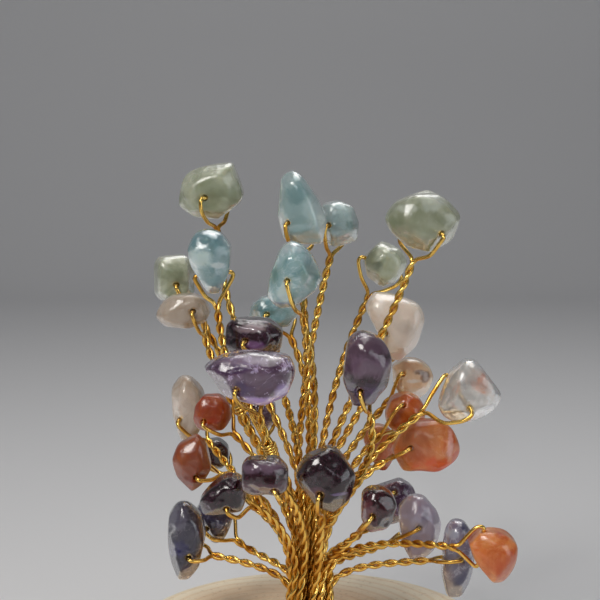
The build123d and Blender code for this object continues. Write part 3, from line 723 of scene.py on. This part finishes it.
@dataclass(frozen=True)
class CrownSizes:
    """Sizes of the crown and the base, in metres."""

    base_radius: float = 0.023
    base_height: float = 0.010
    rim_round: float = 0.0024
    foot_chamfer: float = 0.0008
    crown_height: float = 0.060
    chip_length: float = 0.010
    bore_clearance: float = 0.00010


WIRE = WireSizes()
CROWN = CrownSizes()


def taut(points: list[np.ndarray]) -> list[np.ndarray]:
    """The points that a string pulled tight round the outer side of a row of points in a plane would touch."""
    kept: list[np.ndarray] = []
    for point in points:
        while len(kept) > 1:
            first, second = kept[-1] - kept[-2], point - kept[-1]
            if first[0] * second[1] < first[1] * second[0]:
                break
            kept.pop()
        kept.append(point)
    return kept


class ChipPlace:
    """Where one chip, its hole and its fork are, worked out from its row and the frame's own chip.

    least_area: twice the area, in square metres, under which a face has no sure direction
    flat_slack: how far before a face's plane a point may lie when the face is a flat
    same_way: cosine over which two directions count as one
    least_level: lean along the hole under which a flat doesn't limit the wire's reach
    """

    least_area = 1e-9
    flat_slack = 2e-6
    same_way = 0.9995
    least_level = 1e-6

    def __init__(self, chip: Chip) -> None:
        """Works out the chip's axes, hole and flats."""
        self.chip = chip
        self.middle = np.array(chip.place_share) * CROWN.crown_height + (0, 0, CROWN.base_height)
        heading, pitch = math.radians(chip.heading), math.radians(chip.pitch)
        level = math.cos(pitch)
        self.rise = np.array([level * math.cos(heading), level * math.sin(heading), math.sin(pitch)])
        side = unit(np.cross((0, 1, 0), self.rise))
        self.hole = unit(turned(side, self.rise, chip.turn))
        upright = np.array((0.0, 0.0, 1.0))
        rolled = [turned(axis, np.array((0.0, 1.0, 0.0)), -chip.roll) for axis in np.eye(3)[[0, 2, 1]]]
        self.axes = np.array([turned(axis, upright, chip.yaw) for axis in rolled])
        shares = np.array(chip.hole_share) * np.array(chip.size_share) * CROWN.chip_length / 2
        self.bore = self.middle + self.axes[0] * shares[0] + self.axes[1] * shares[1]
        self.normals, self.distances = self.flats()

    def flats(self) -> tuple[np.ndarray, np.ndarray]:
        """Flats of the ground chip, as the frame has it.

        A face's plane is a flat when the whole chip lies behind it, which leaves out the bore.

        Returns:
            The flats' directions and their distances from the frame's origin.
        """
        mesh = frame["nodes"][self.chip.name].data
        mesh.calc_loop_triangles()
        points = np.empty(len(mesh.vertices) * 3)
        mesh.vertices.foreach_get("co", points)
        points = points.reshape(-1, 3)
        index = np.empty(len(mesh.loop_triangles) * 3, int)
        mesh.loop_triangles.foreach_get("vertices", index)
        triangles = points[index.reshape(-1, 3)]
        across = np.cross(triangles[:, 1] - triangles[:, 0], triangles[:, 2] - triangles[:, 0])
        area = np.linalg.norm(across, axis=1)
        order = np.argsort(-area)
        order = order[area[order] > self.least_area]
        normals = across[order] / area[order, None]
        distances = (normals * triangles[order, 0]).sum(axis=1)
        outer = (points @ normals.T).max(axis=0) - distances < self.flat_slack
        kept: list[int] = []
        for row in np.flatnonzero(outer):
            if all(normals[row] @ normals[other] < self.same_way for other in kept):
                kept.append(int(row))
        return normals[kept], distances[kept]

    def side(self, sign: int, depths: np.ndarray) -> np.ndarray:
        """How far out from the hole's middle the wire passes, on one side of the chip.

        The chip is cut in the loop's plane and beside it, at rest and as far as it rocks. A flat lets the wire
        reach (room + depth * upright) / level, where room is its distance from the hole's middle with the
        wire's stand-off added. The nearest flat counts, and past the chip's foot the answer is below zero.

        Args:
            sign: 1 for the hole's own direction, -1 for the other.
            depths: how far below the hole to look.

        Returns:
            The reach at each depth.
        """
        play = self.chip.play
        across = np.cross(self.hole, self.rise)
        distances = self.distances - self.normals @ self.bore
        level = self.normals @ self.hole * sign
        out, inward = level > self.least_level, level < -self.least_level
        flat = ~out & ~inward
        reach = []
        for angle in {-play, -play / 2, 0, play / 2, play}:
            upright = self.normals @ turned(self.rise, self.hole, -angle)
            beside = self.normals @ turned(across, self.hole, -angle)
            for offset in (-WIRE.diameter, 0, WIRE.diameter):
                room = distances - offset * beside + (WIRE.radius + WIRE.loop_gap) * np.hypot(level, upright)
                limits = room[:, None] + np.outer(upright, depths)
                far = (limits[out] / level[out][:, None]).min(axis=0)
                near = (limits[inward] / level[inward][:, None]).max(axis=0)
                inside = (far > near) & (limits[flat] > 0).all(axis=0)
                reach.append(np.where(inside, far, -CROWN.chip_length))
        return np.max(reach, axis=0)

    def loop(self) -> tuple[list[np.ndarray], np.ndarray]:
        """The wire's line down both sides of the chip.

        Each side is pulled taut: level out of the hole, down along the chip, and from its foot to the fork.

        Returns:
            The two sides' points, each from the hole to the fork, and the fork.
        """
        depths = WIRE.corner_cut + np.arange(WIRE.loop_samples) * CROWN.chip_length / WIRE.loop_samples
        reaches = [self.side(sign, depths) for sign in (1, -1)]
        strand = WIRE.radius + WIRE.strand_gap / 2
        depth = max(depths[reach > 0].max() for reach in reaches) + WIRE.fork_drop
        sides = []
        for sign, reach in zip((1, -1), reaches):
            chain = [np.array((u, -v)) for u, v in zip(reach, depths) if u > strand and v < depth]
            chain = taut(chain + [np.array((strand, -depth))])
            side = [(0, 0), (chain[0][0] - WIRE.corner_cut, 0), *chain, (strand, -depth - WIRE.stub_length)]
            sides.append(np.array([self.bore + self.hole * sign * u + self.rise * v for u, v in side]))
        return sides, self.bore - self.rise * (depth + WIRE.stub_length)


@dataclass
class ChipForm:
    """The polished chip: its flats with worn edges, soft dents and scoops, and the drilled hole right through.

    place: where the chip is
    around: columns about the hole
    along: rows from one end of the hole to the other
    wear: how sharp the edges stay; 8 is a pebble, 24 is crisp
    dents, scoops: how many it has
    dent_width to scoop_depth: least and most of each, the widths as 1 - cos of an angle, the depths as shares
    scoop_slope: how steep a scoop's rim is
    mouth_sink, mouth_width: how far the hole's rim sinks, and how far out
    bore_rows: rows along the bore, with the two at its mouths
    """

    place: ChipPlace
    around: int
    along: int
    wear: float
    dents: int = 9
    scoops: int = 8
    dent_width: tuple[float, float] = (0.05, 0.22)
    dent_depth: tuple[float, float] = (0.015, 0.05)
    scoop_width: tuple[float, float] = (0.05, 0.16)
    scoop_depth: tuple[float, float] = (0.02, 0.075)
    scoop_slope: float = 9.0
    mouth_sink: float = 0.00010
    mouth_width: float = 0.00018
    bore_rows: int = 8

    def reach(self, ways: np.ndarray) -> np.ndarray:
        """How far the surface lies from the hole's middle in each direction.

        For each flat, the share of its distance that a point one unit out has used up is max(n.u, 0) / d. The
        reach is one over the p-norm of these shares, so flats meet in rounded edges and stay inside the CAD
        chip. Shallow dents, each a bell about its own direction, lower it a little, and so do scoops, each
        a bowl with a soft rim: depth * log(1 + exp(s)) / s_top, where s falls evenly with 1 - cos of the angle
        from the scoop's direction and reaches s_top in its middle.
        """
        place = self.place
        inner = place.distances - place.normals @ place.bore
        used = np.maximum(ways @ place.normals.T, 0) / inner
        reach = (used**self.wear).sum(axis=-1) ** (-1 / self.wear)
        draw = np.random.default_rng(seed_of(place.chip.name))
        for _ in range(self.dents):
            way = unit(draw.normal(size=3))
            width, depth = draw.uniform(*self.dent_width), draw.uniform(*self.dent_depth)
            reach = reach * (1 - depth * np.exp((ways @ way - 1) / width))
        for _ in range(self.scoops):
            way = unit(draw.normal(size=3))
            width, depth = draw.uniform(*self.scoop_width), draw.uniform(*self.scoop_depth)
            slope = self.scoop_slope * (1 - (1 - ways @ way) / width)
            reach = reach * (1 - depth * np.logaddexp(0, slope) / self.scoop_slope)
        return reach

    def surface(self) -> Surface:
        """The skin as a grid closed both ways, over the outside and back through the bore.

        Columns turn about the hole's line. Rows run over the outside by polar angle, from one mouth of the
        hole to the other, and back along the bore. A soft bell sinks the rim of each mouth.
        """
        place = self.place
        bore_radius = WIRE.radius + CROWN.bore_clearance
        first = unit(np.cross(place.hole, place.rise))
        second = np.cross(place.hole, first)
        turns = np.linspace(0, TURN, self.around, endpoint=False)
        about = np.cos(turns)[:, None] * first + np.sin(turns)[:, None] * second
        ends = self.reach(np.array([place.hole, -place.hole]))
        share = np.linspace(0, 1, self.along)
        start, stop = math.asin(bore_radius / ends[0]), math.pi - math.asin(bore_radius / ends[1])
        polar = start + (stop - start) * share
        ways = np.cos(polar)[:, None, None] * place.hole + np.sin(polar)[:, None, None] * about
        reach = self.reach(ways)
        height = reach * np.cos(polar)[:, None]
        radius = reach * np.sin(polar)[:, None]
        sink = self.mouth_sink * np.exp(-(((radius - bore_radius) / self.mouth_width) ** 2))
        height = height - np.sign(np.cos(polar))[:, None] * sink
        radius[0] = bore_radius
        radius[-1] = bore_radius
        back = np.linspace(1, 0, self.bore_rows)[1:-1, None]
        inner_height = height[-1] * back + height[0] * (1 - back)
        height = np.concatenate([height, inner_height])
        radius = np.concatenate([radius, np.full_like(inner_height, bore_radius)])
        points = place.bore + height[..., None] * place.hole + radius[..., None] * about
        return grid_surface(points, ring=True)


class Stem:
    """The centre line of one chip's stem, from inside the socket up the trunk and out to the fork."""

    slot_samples = 60
    curve_samples = 160

    def __init__(self, place: ChipPlace, fork: np.ndarray) -> None:
        """Keeps the chip's place and fork."""
        self.place = place
        self.fork = fork

    def slot_points(self, heights: np.ndarray) -> np.ndarray:
        """Points of the stem's slot in the trunk.

        The slot lies at its ring's radius, and its angle is the slot's own plus the trunk's steady twist.
        """
        chip = self.place.chip
        radius = chip.ring * WIRE.pitch
        turn = TURN * (chip.slot / (6 * chip.ring) if chip.ring else 0)
        twist = TURN * WIRE.trunk_turn_share * (heights / (CROWN.crown_height * WIRE.gather_share) - 1)
        columns = [radius * np.cos(turn + twist), radius * np.sin(turn + twist), heights + CROWN.base_height]
        return np.stack(columns, axis=-1)

    def line(self, spacing: float, foot: float) -> tuple[np.ndarray, float]:
        """The centre line as evenly spaced points.

        Up to the leaving height it follows the slot, and then a cubic curve whose first handle follows the
        trunk's twist and whose last one follows the loop's rise.

        Args:
            spacing: distance between points.
            foot: height of the first point above the base's top.

        Returns:
            The points, and the length of the stretch inside the trunk.
        """
        chip = self.place.chip
        leave = chip.leave_share * CROWN.crown_height
        lower = self.slot_points(np.linspace(foot, leave, self.slot_samples))
        start = lower[-1]
        below = self.slot_points(np.array([leave - WIRE.leave_step]))[0]
        span = np.linalg.norm(self.fork - start)
        first = start + unit(start - below) * span * WIRE.leave_handle_share
        last = self.fork - self.place.rise * span * chip.reach_share
        t = np.linspace(0, 1, self.curve_samples)[1:, None]
        curve = start * (1 - t) ** 3 + 3 * first * t * (1 - t) ** 2 + 3 * last * t**2 * (1 - t) + self.fork * t**3
        points = np.concatenate([lower, curve])
        travel = travelled(points)
        return evened(points, spacing), travel[len(lower) - 1]


def softened(points: np.ndarray, spacing: float, width: float, tails: float = 2.5) -> np.ndarray:
    """A line bent like wire, with no sharp corner.

    The line is cut into even steps, and each point becomes the mean of its neighbours weighted by a bell of the
    given width. Past its ends the line is carried on as its own mirror through the end point, so that they stay.

    Args:
        points: the line's corners.
        spacing: distance between the new points.
        width: of the bell.
        tails: where the bell is cut off, in widths.

    Returns:
        The even, softened line.
    """
    even = evened(points, spacing)
    reach = math.ceil(tails * width / spacing)
    bell = np.exp(-((np.arange(-reach, reach + 1) * spacing / width) ** 2) / 2)
    padded = np.concatenate([2 * even[0] - even[reach:0:-1], even, 2 * even[-1] - even[-2:-reach - 2:-1]])
    columns = [np.convolve(padded[:, axis], bell / bell.sum(), mode="valid") for axis in range(3)]
    return np.stack(columns, axis=-1)


def tube_surface(points: np.ndarray, hints: np.ndarray, radii: np.ndarray, sides: int) -> Surface:
    """A round wire along a line.

    At each point the ring lies square to the line's way there. Its first spoke is the hint crossed with the
    way, so the rings don't turn against each other where the hints change slowly.

    Args:
        points: the line.
        hints: a direction at each point, never along the line.
        radii: the wire's radius at each point.
        sides: corners of each ring.

    Returns:
        The form, closed at both ends.
    """
    ways = unit(np.gradient(points, axis=0))
    first = unit(np.cross(hints, ways))
    second = np.cross(ways, first)
    turns = np.arange(sides) * TURN / sides
    spokes = np.cos(turns)[None, :, None] * first[:, None] + np.sin(turns)[None, :, None] * second[:, None]
    return grid_surface(points[:, None] + spokes * radii[:, None, None])


class Twist:
    """One chip's wire: two strands wound up the stem, parted at the fork and joined through the chip.

    steps_per_lay, sides: points in each turn of the strands, and corners of the wire
    foot: height where it starts, from the top of the base
    lay_range: least and most lay, as shares of the usual one
    pack_length: stretch above the trunk over which the strands spread again
    pack_thin, pack_near: how much thinner and nearer the strands are in the trunk, as shares
    """

    steps_per_lay = 16
    sides = 8
    foot = -0.002
    lay_range = (0.8, 1.08)
    pack_length = 0.008
    pack_thin = 0.14
    pack_near = 0.18

    def __init__(self, place: ChipPlace) -> None:
        """Works out the loop and the stem.

        The lay differs a little from wire to wire, as hand-twisted wire does.
        """
        self.place = place
        self.loop, fork = place.loop()
        self.stem = Stem(place, fork)
        draw = np.random.default_rng(seed_of(place.chip.name) + 7)
        self.lay = WIRE.lay_length * draw.uniform(*self.lay_range)

    def strands(self) -> tuple[np.ndarray, np.ndarray, np.ndarray]:
        """The two strands' lines from the foot to the fork, and their radii.

        A strand lies beside the centre line at an angle that grows steadily with the way from the fork, and
        the other lies opposite. In the trunk both draw in and thin a little, because the bundle is packed.

        Returns:
            Both strands' points, both strands' hints, and the radii.
        """
        centre, trunk = self.stem.line(self.lay / self.steps_per_lay, self.foot)
        centre = centre[::-1]
        ways = unit(np.gradient(centre, axis=0))
        travel = travelled(centre)
        spoke = spokes_about(ways, self.place.hole, TURN * travel / self.lay)
        packed = np.clip((travel - travel[-1] + trunk) / self.pack_length + 0.5, 0, 1)
        packed = packed * packed * (3 - 2 * packed)
        radii = WIRE.radius * (1 - self.pack_thin * packed)
        offset = (WIRE.radius + WIRE.strand_gap / 2) * (1 - self.pack_near * packed)
        lines = np.stack([centre + spoke * offset[:, None], centre - spoke * offset[:, None]])
        hints = np.cross(ways, spoke)
        return lines, np.stack([hints, hints]), radii

    def surface(self) -> Surface:
        """The whole wire as one tube, up one strand, round the loop and down the other strand."""
        lines, hints, radii = self.strands()
        right, left = self.loop
        loop = softened(np.concatenate([right[::-1], left[1:]]), WIRE.radius / 2, WIRE.radius * 1.5)[1:-1]
        normal = np.cross(self.place.rise, self.place.hole)
        points = np.concatenate([lines[0][::-1], loop, lines[1]])
        hint = np.concatenate([-hints[0][::-1], np.tile(normal, (len(loop), 1)), -hints[1]])
        radius = np.concatenate([radii[::-1], np.full(len(loop), WIRE.radius), radii])
        return tube_surface(points, hint, radius, self.sides)


@dataclass(frozen=True)
class Binding:
    """A short end of thinner wire wound round one stem, with its ends tucked in.

    chip: the chip whose stem it binds
    travel: how far up the stem its middle is, from the top of the base
    turns: how many turns it has
    radius: of its wire
    spread: distance between its turns, in wire diameters
    steps, sides: points in each turn, and corners of the wire
    tuck_turns: part of a turn over which an end is tucked in
    """

    chip: str
    travel: float
    turns: float
    radius: float = 0.00017
    spread: float = 1.1
    steps: int = 24
    sides: int = 8
    tuck_turns: float = 0.2

    def surface(self, stem: Stem) -> Surface:
        """The coil, a helix about the stem's centre line.

        Its radius is the wound pair's with the wire's own, and falls by a strand at both ends.
        """
        step = self.radius / 3
        centre = stem.line(step, 0.0)[0]
        middle = round(self.travel / step)
        reach = round(self.turns * self.radius * self.spread / step)
        share = np.linspace(0, 1, round(self.turns * self.steps))
        stops = middle - reach + 2 * reach * share
        centre = points_at(stops, np.arange(len(centre)), centre)
        ways = unit(np.gradient(centre, axis=0))
        spoke = spokes_about(ways, unit(np.cross(ways[0], (0.0, 1.0, 0.0))), TURN * self.turns * share)
        tuck = np.clip(1 - np.minimum(share, 1 - share) * self.turns / self.tuck_turns, 0, 1)
        offset = WIRE.diameter + self.radius - WIRE.radius * tuck**2
        radii = np.full(len(share), self.radius)
        return tube_surface(centre + spoke * offset[:, None], ways, radii, self.sides)


BINDINGS = (
    Binding("aquamarine_pear", 0.0300, 2.6, spread=1.3),
    Binding("amethyst_great", 0.0262, 3.4),
)


@dataclass(frozen=True)
class GiltWireFinish:
    """Gilt brass wire: bright where it is rubbed, browner and rougher in its tarnish.

    cloud_scale, line_scale: how fine the tarnish and the drawn lines are, a metre
    """

    bright: Colour = linear(244, 202, 108)
    brown: Colour = linear(198, 136, 48)
    roughness: float = 0.2
    tarnish_roughness: float = 0.16
    cloud_scale: float = 260.0
    line_scale: float = 5000.0

    def material(self) -> bpy.types.Material:
        """The wire's material: clouds of tarnish, with drawn lines too fine to see but as a soft gloss."""
        paint = Paint("gilt_wire")
        nodes = paint.nodes
        tarnish = nodes.ranged(nodes.noise(paint.where, self.cloud_scale, 4.0), 0.42, 0.72)
        colour = nodes.mixed(tarnish, self.bright, self.brown)
        rough = nodes.maths("MULTIPLY_ADD", tarnish, self.tarnish_roughness, self.roughness)
        lines = nodes.noise(paint.where, self.line_scale, 2.0)
        relief = {"Height": lines, "Strength": 0.12, "Distance": 0.00005}
        return paint.finished(colour, rough, relief, {"Metallic": 1.0})


@dataclass(frozen=True)
class WoodFinish:
    """End grain of a pale wood slice: year rings about a pith off the middle, browner towards the middle, and fine
    pores.

    pale, ring, centre_brown, pore: colours of the spring wood, the rings, the browner middle and the pores
    pith_share: where the pith is, right and back, as shares of the radius
    ring_step: distance from ring to ring
    warp: how far a ring strays from a circle
    centre_brown_edge: where the browner middle starts and is full, as shares of the radius
    ring_share, centre_brown_share, pore_share: how strong each colour is
    warp_scale, pore_scale: how fine the warp and the pores are, a metre
    pore_stretch: scale along the upright, so that pores run up and down
    """

    pale: Colour = linear(255, 240, 212)
    ring: Colour = linear(240, 212, 172)
    centre_brown: Colour = linear(222, 176, 128)
    pore: Colour = linear(120, 84, 56)
    pith_share: tuple[float, float] = (-0.12, 0.1)
    ring_step: float = 0.0016
    warp: float = 0.0022
    centre_brown_edge: tuple[float, float] = (0.78, 0.58)
    ring_share: float = 0.5
    centre_brown_share: float = 0.5
    pore_share: float = 0.22
    warp_scale: float = 60.0
    pore_scale: float = 1800.0
    pore_stretch: float = 0.07

    def material(self, radius: float) -> bpy.types.Material:
        """The wood's material, for a slice of a radius."""
        paint = Paint("wood_slice")
        nodes, where = paint.nodes, paint.where
        shift = (-radius * self.pith_share[0], -radius * self.pith_share[1], 0)
        level = {"Vector": where, "Location": shift, "Scale": (1.0, 1.0, 0.0)}
        distance = nodes.vectors("LENGTH", nodes.add("ShaderNodeMapping", level).outputs[0])
        wavy = nodes.maths("MULTIPLY_ADD", nodes.noise(where, self.warp_scale, 2.0), self.warp, distance)
        late = nodes.ranged(nodes.maths("SINE", nodes.maths("MULTIPLY", wavy, TURN / self.ring_step)), 0.1, 1.0)
        colour = nodes.mixed(nodes.maths("MULTIPLY", late, self.ring_share), self.pale, self.ring)
        # Browner towards the middle of the slice, about the pith.
        inside = nodes.ranged(wavy, *(radius * share for share in self.centre_brown_edge))
        colour = nodes.mixed(nodes.maths("MULTIPLY", inside, self.centre_brown_share), colour, self.centre_brown)
        upright = {"Vector": where, "Scale": (1.0, 1.0, self.pore_stretch)}
        fibre = nodes.noise(nodes.add("ShaderNodeMapping", upright).outputs[0], self.pore_scale, 3.0)
        pores = nodes.ranged(fibre, 0.58, 0.72)
        colour = nodes.mixed(nodes.maths("MULTIPLY", pores, self.pore_share), colour, self.pore)
        height = nodes.maths("ADD", nodes.maths("MULTIPLY", late, 0.4), nodes.maths("MULTIPLY", pores, -0.8))
        rough = nodes.maths("MULTIPLY_ADD", pores, 0.2, 0.46)
        return paint.finished(colour, rough, {"Height": height, "Strength": 0.35, "Distance": 0.0001})


@dataclass(frozen=True)
class GlueFinish:
    """Clear glue with a faint yellow, deeper in places."""

    tint: Colour = linear(232, 220, 186)
    deep: Colour = linear(214, 190, 140)
    wave_scale: float = 900.0

    def material(self) -> bpy.types.Material:
        """The glue's material, with soft waves from its setting."""
        paint = Paint("clear_glue")
        waves = paint.nodes.noise(paint.where, self.wave_scale, 2.0)
        colour = paint.nodes.mixed(paint.nodes.ranged(waves, 0.4, 0.7), self.tint, self.deep)
        relief = {"Height": waves, "Strength": 0.4, "Distance": 0.0002}
        return paint.finished(colour, 0.12, relief, {"IOR": 1.48, "Transmission Weight": 0.7})


@dataclass
class Foot:
    """The wood slice and the glue that holds the trunk in it.

    columns, arc_steps, glue_steps: fineness round the upright, over the rim and up the glue
    glue_height, glue_step: how high the glue stands above the slice, at the trunk and at its edge
    glue_clearance, socket_clearance: room from the trunk to the glue and to the socket's wall
    centre_hole: radius of the hair-thin hole that keeps the middle's faces four-sided
    """

    columns: int = 180
    glue_height: float = 0.0007
    glue_step: float = 0.00025
    glue_clearance: float = 0.00006
    socket_clearance: float = 0.00055
    socket_depth: float = 0.007
    centre_hole: float = 0.0001
    arc_steps: int = 14
    glue_steps: int = 10

    def revolved(self, profile: list[tuple[float, float]]) -> Surface:
        """A closed outline, each corner its radius and height, carried round the upright."""
        turns = np.linspace(0, TURN, self.columns, endpoint=False)
        radius, height = np.array(profile).T[..., None]
        points = np.broadcast_arrays(radius * np.cos(turns), radius * np.sin(turns), height)
        return grid_surface(np.stack(points, axis=-1), ring=True)

    def build(self) -> None:
        """Builds and dresses the slice and the glue."""
        socket = WIRE.trunk_radius + self.socket_clearance
        top = CROWN.base_height
        arc = np.linspace(0, math.pi / 2, self.arc_steps)
        rim = CROWN.base_radius - CROWN.rim_round
        floor = top - self.socket_depth
        rows = [(socket, floor), (self.centre_hole, floor), (self.centre_hole, 0)]
        rows += [(share * (CROWN.base_radius - CROWN.foot_chamfer), 0) for share in (0.4, 0.8, 1)]
        rows += [(CROWN.base_radius, CROWN.foot_chamfer)]
        rows += [(rim + CROWN.rim_round * math.cos(a), top - CROWN.rim_round + CROWN.rim_round * math.sin(a))
                 for a in arc]
        rows += [(socket + (rim - socket) * share, top) for share in (0.8, 0.6, 0.4, 0.2, 0)]
        wood = piece_of("wood_slice", self.revolved(rows), WoodFinish().material(CROWN.base_radius))
        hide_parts("wood_base")
        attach(wood, body_of("wood_base"))
        LOG.info("wood slice built")
        inner = WIRE.trunk_radius + self.glue_clearance
        climb = np.linspace(0, math.pi / 2, self.glue_steps)
        rows = [(inner, floor), (socket, floor), (socket, top)]
        rows += [(socket - (socket - inner) * math.sin(a), top + self.glue_step
                  + (self.glue_height - self.glue_step) * (1 - math.cos(a))) for a in climb]
        glue = piece_of("glue_collar", self.revolved(rows), GlueFinish().material())
        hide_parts("glue_bed")
        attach(glue, body_of("glue_bed"))
        LOG.info("glue collar built")


@dataclass
class Crown:
    """All chips and their wires."""

    around: int = 96
    along: int = 72
    wear: float = 20.0

    def build(self) -> None:
        """Builds and dresses each chip and each wire."""
        groups = StoneGroups()
        gilt = GiltWireFinish().material()
        partner = {second: first for first, second in SHARED_WIRES}
        wires: dict[str, Surface] = {}
        for chip in CHIPS:
            place = ChipPlace(chip)
            self.chip_piece(place, groups)
            wire = "wire_" + partner.get(chip.name, chip.name)
            twist = Twist(place)
            tube = twist.surface()
            wires[wire] = wires[wire].joined(tube) if wire in wires else tube
            for binding in BINDINGS:
                if binding.chip == chip.name:
                    coil = piece_of("binding_" + chip.name, binding.surface(twist.stem), gilt)
                    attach(coil, body_of(wire))
                    LOG.info("%s built", coil.name)
        for node, surface in wires.items():
            piece = piece_of("twist_" + node.removeprefix("wire_"), surface, gilt)
            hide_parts(node)
            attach(piece, body_of(node))
            LOG.info("%s built, %d faces", piece.name, len(surface.faces))

    def chip_piece(self, place: ChipPlace, groups: StoneGroups) -> None:
        """Builds and dresses one chip.

        Args:
            place: where the chip is.
            groups: the stones' node groups.
        """
        chip = place.chip
        half = CROWN.chip_length * max(chip.size_share) / 2
        material = FINISHES[chip.stone].material(place, half, groups)
        surface = ChipForm(place, self.around, self.along, self.wear).surface()
        piece = piece_of("chip_" + chip.name, surface, material)
        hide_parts(chip.name)
        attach(piece, body_of(chip.name))
        LOG.info("%s built, %d faces", piece.name, len(surface.faces))


# Each light's name, place, size, power and colour.
LIGHTS = (
    ("key_light", (-0.15, -0.20, 0.25), 0.12, 0.58, (1.0, 0.97, 0.93)),
    ("fill_light", (0.24, -0.20, 0.10), 0.18, 0.20, (0.90, 0.95, 1.0)),
    ("back_light", (0.04, 0.16, 0.30), 0.20, 0.16, (1.0, 1.0, 1.0)),
    ("top_light", (0.02, -0.03, 0.30), 0.16, 0.17, (1.0, 0.98, 0.95)),
    ("spark_light", (-0.04, -0.32, 0.20), 0.012, 0.09, (1.0, 1.0, 1.0)),
)


@dataclass(frozen=True)
class Studio:
    """Pale floor, soft lights and the camera.

    target: what the camera and the lights look at
    elevation, distance, field_of_view: the camera's height and field in degrees, and its distance
    floor_size: half the floor's width, and the wall's height
    cove_share, wall_share: radius of the curve between floor and wall, and where it starts, of the floor's size
    """

    target: Vector3 = (-0.0012, 0.0, 0.0506)
    elevation: float = 8.0
    distance: float = 0.185
    field_of_view: float = 22.0
    floor_size: float = 1.2
    cove_share: float = 0.12
    wall_share: float = 0.30
    cove_steps: int = 24
    floor_colour: Colour = (0.74, 0.74, 0.75)
    air: Colour = (0.10, 0.103, 0.11)

    def area_light(self, name: str, place: Vector3, size: float, power: float, colour: Colour) -> None:
        """A square soft light aimed at the crown."""
        light = bpy.data.lights.new(name, "AREA")
        light.size = size
        light.energy = power
        light.color = colour
        lamp = bpy.data.objects.new(name, light)
        bpy.context.scene.collection.objects.link(lamp)
        lamp.location = place
        lamp.rotation_euler = (Vector(self.target) - Vector(place)).to_track_quat("-Z", "Y").to_euler()

    def sweep_mesh(self) -> bpy.types.Mesh:
        """A pale floor that curves up into a wall behind: a profile carried sideways."""
        arc = np.linspace(0, math.pi / 2, self.cove_steps)
        radius = self.floor_size * self.cove_share
        wall = self.floor_size * self.wall_share
        profile = [(-self.floor_size, 0.0)]
        profile += [(wall + radius * math.sin(a), radius * (1 - math.cos(a))) for a in arc]
        profile += [(wall + radius, self.floor_size)]
        sides = np.array([-self.floor_size, self.floor_size])
        depth, height = np.array(profile).T[..., None]
        points = np.stack(np.broadcast_arrays(sides, depth, height), axis=-1)
        index = np.arange(points.shape[0] * 2).reshape(-1, 2)
        faces = np.stack([index[:-1, 0], index[:-1, 1], index[1:, 1], index[1:, 0]], axis=-1).tolist()
        mesh = bpy.data.meshes.new("studio_sweep")
        mesh.from_pydata(points.reshape(-1, 3).tolist(), [], faces)
        mesh.polygons.foreach_set("use_smooth", np.full(len(mesh.polygons), True))
        material = bpy.data.materials.new("studio_sweep")
        material.use_nodes = True
        shader = material.node_tree.nodes["Principled BSDF"]
        shader.inputs["Base Color"].default_value = (*self.floor_colour, 1)
        shader.inputs["Roughness"].default_value = 0.7
        mesh.materials.append(material)
        return mesh

    def build(self) -> None:
        """Builds the floor, the lights, the surroundings and the camera."""
        sweep = bpy.data.objects.new("studio_sweep", self.sweep_mesh())
        bpy.context.scene.collection.objects.link(sweep)
        for light in LIGHTS:
            self.area_light(*light)
        world = bpy.data.worlds.new("studio_air")
        bpy.context.scene.world = world
        world.use_nodes = True
        world.node_tree.nodes["Background"].inputs["Color"].default_value = (*self.air, 1)
        world.node_tree.nodes["Background"].inputs["Strength"].default_value = 1.0
        camera = bpy.data.cameras.new("camera")
        camera.sensor_width = 36.0
        camera.lens = camera.sensor_width / 2 / math.tan(math.radians(self.field_of_view / 2))
        camera.clip_start = 0.01
        eye = bpy.data.objects.new("camera", camera)
        bpy.context.scene.collection.objects.link(eye)
        angle = math.radians(self.elevation)
        away = Vector((0, -math.cos(angle), math.sin(angle)))
        eye.location = Vector(self.target) + away * self.distance
        eye.rotation_euler = (-away).to_track_quat("-Z", "Y").to_euler()
        bpy.context.scene.camera = eye
        bpy.context.scene.view_settings.view_transform = "Standard"


def main() -> None:
    """Builds the tree and its studio."""
    logging.basicConfig(level=logging.INFO, format="%(message)s")
    Foot().build()
    Crown().build()
    Studio().build()


if __name__ == "__main__":
    main()
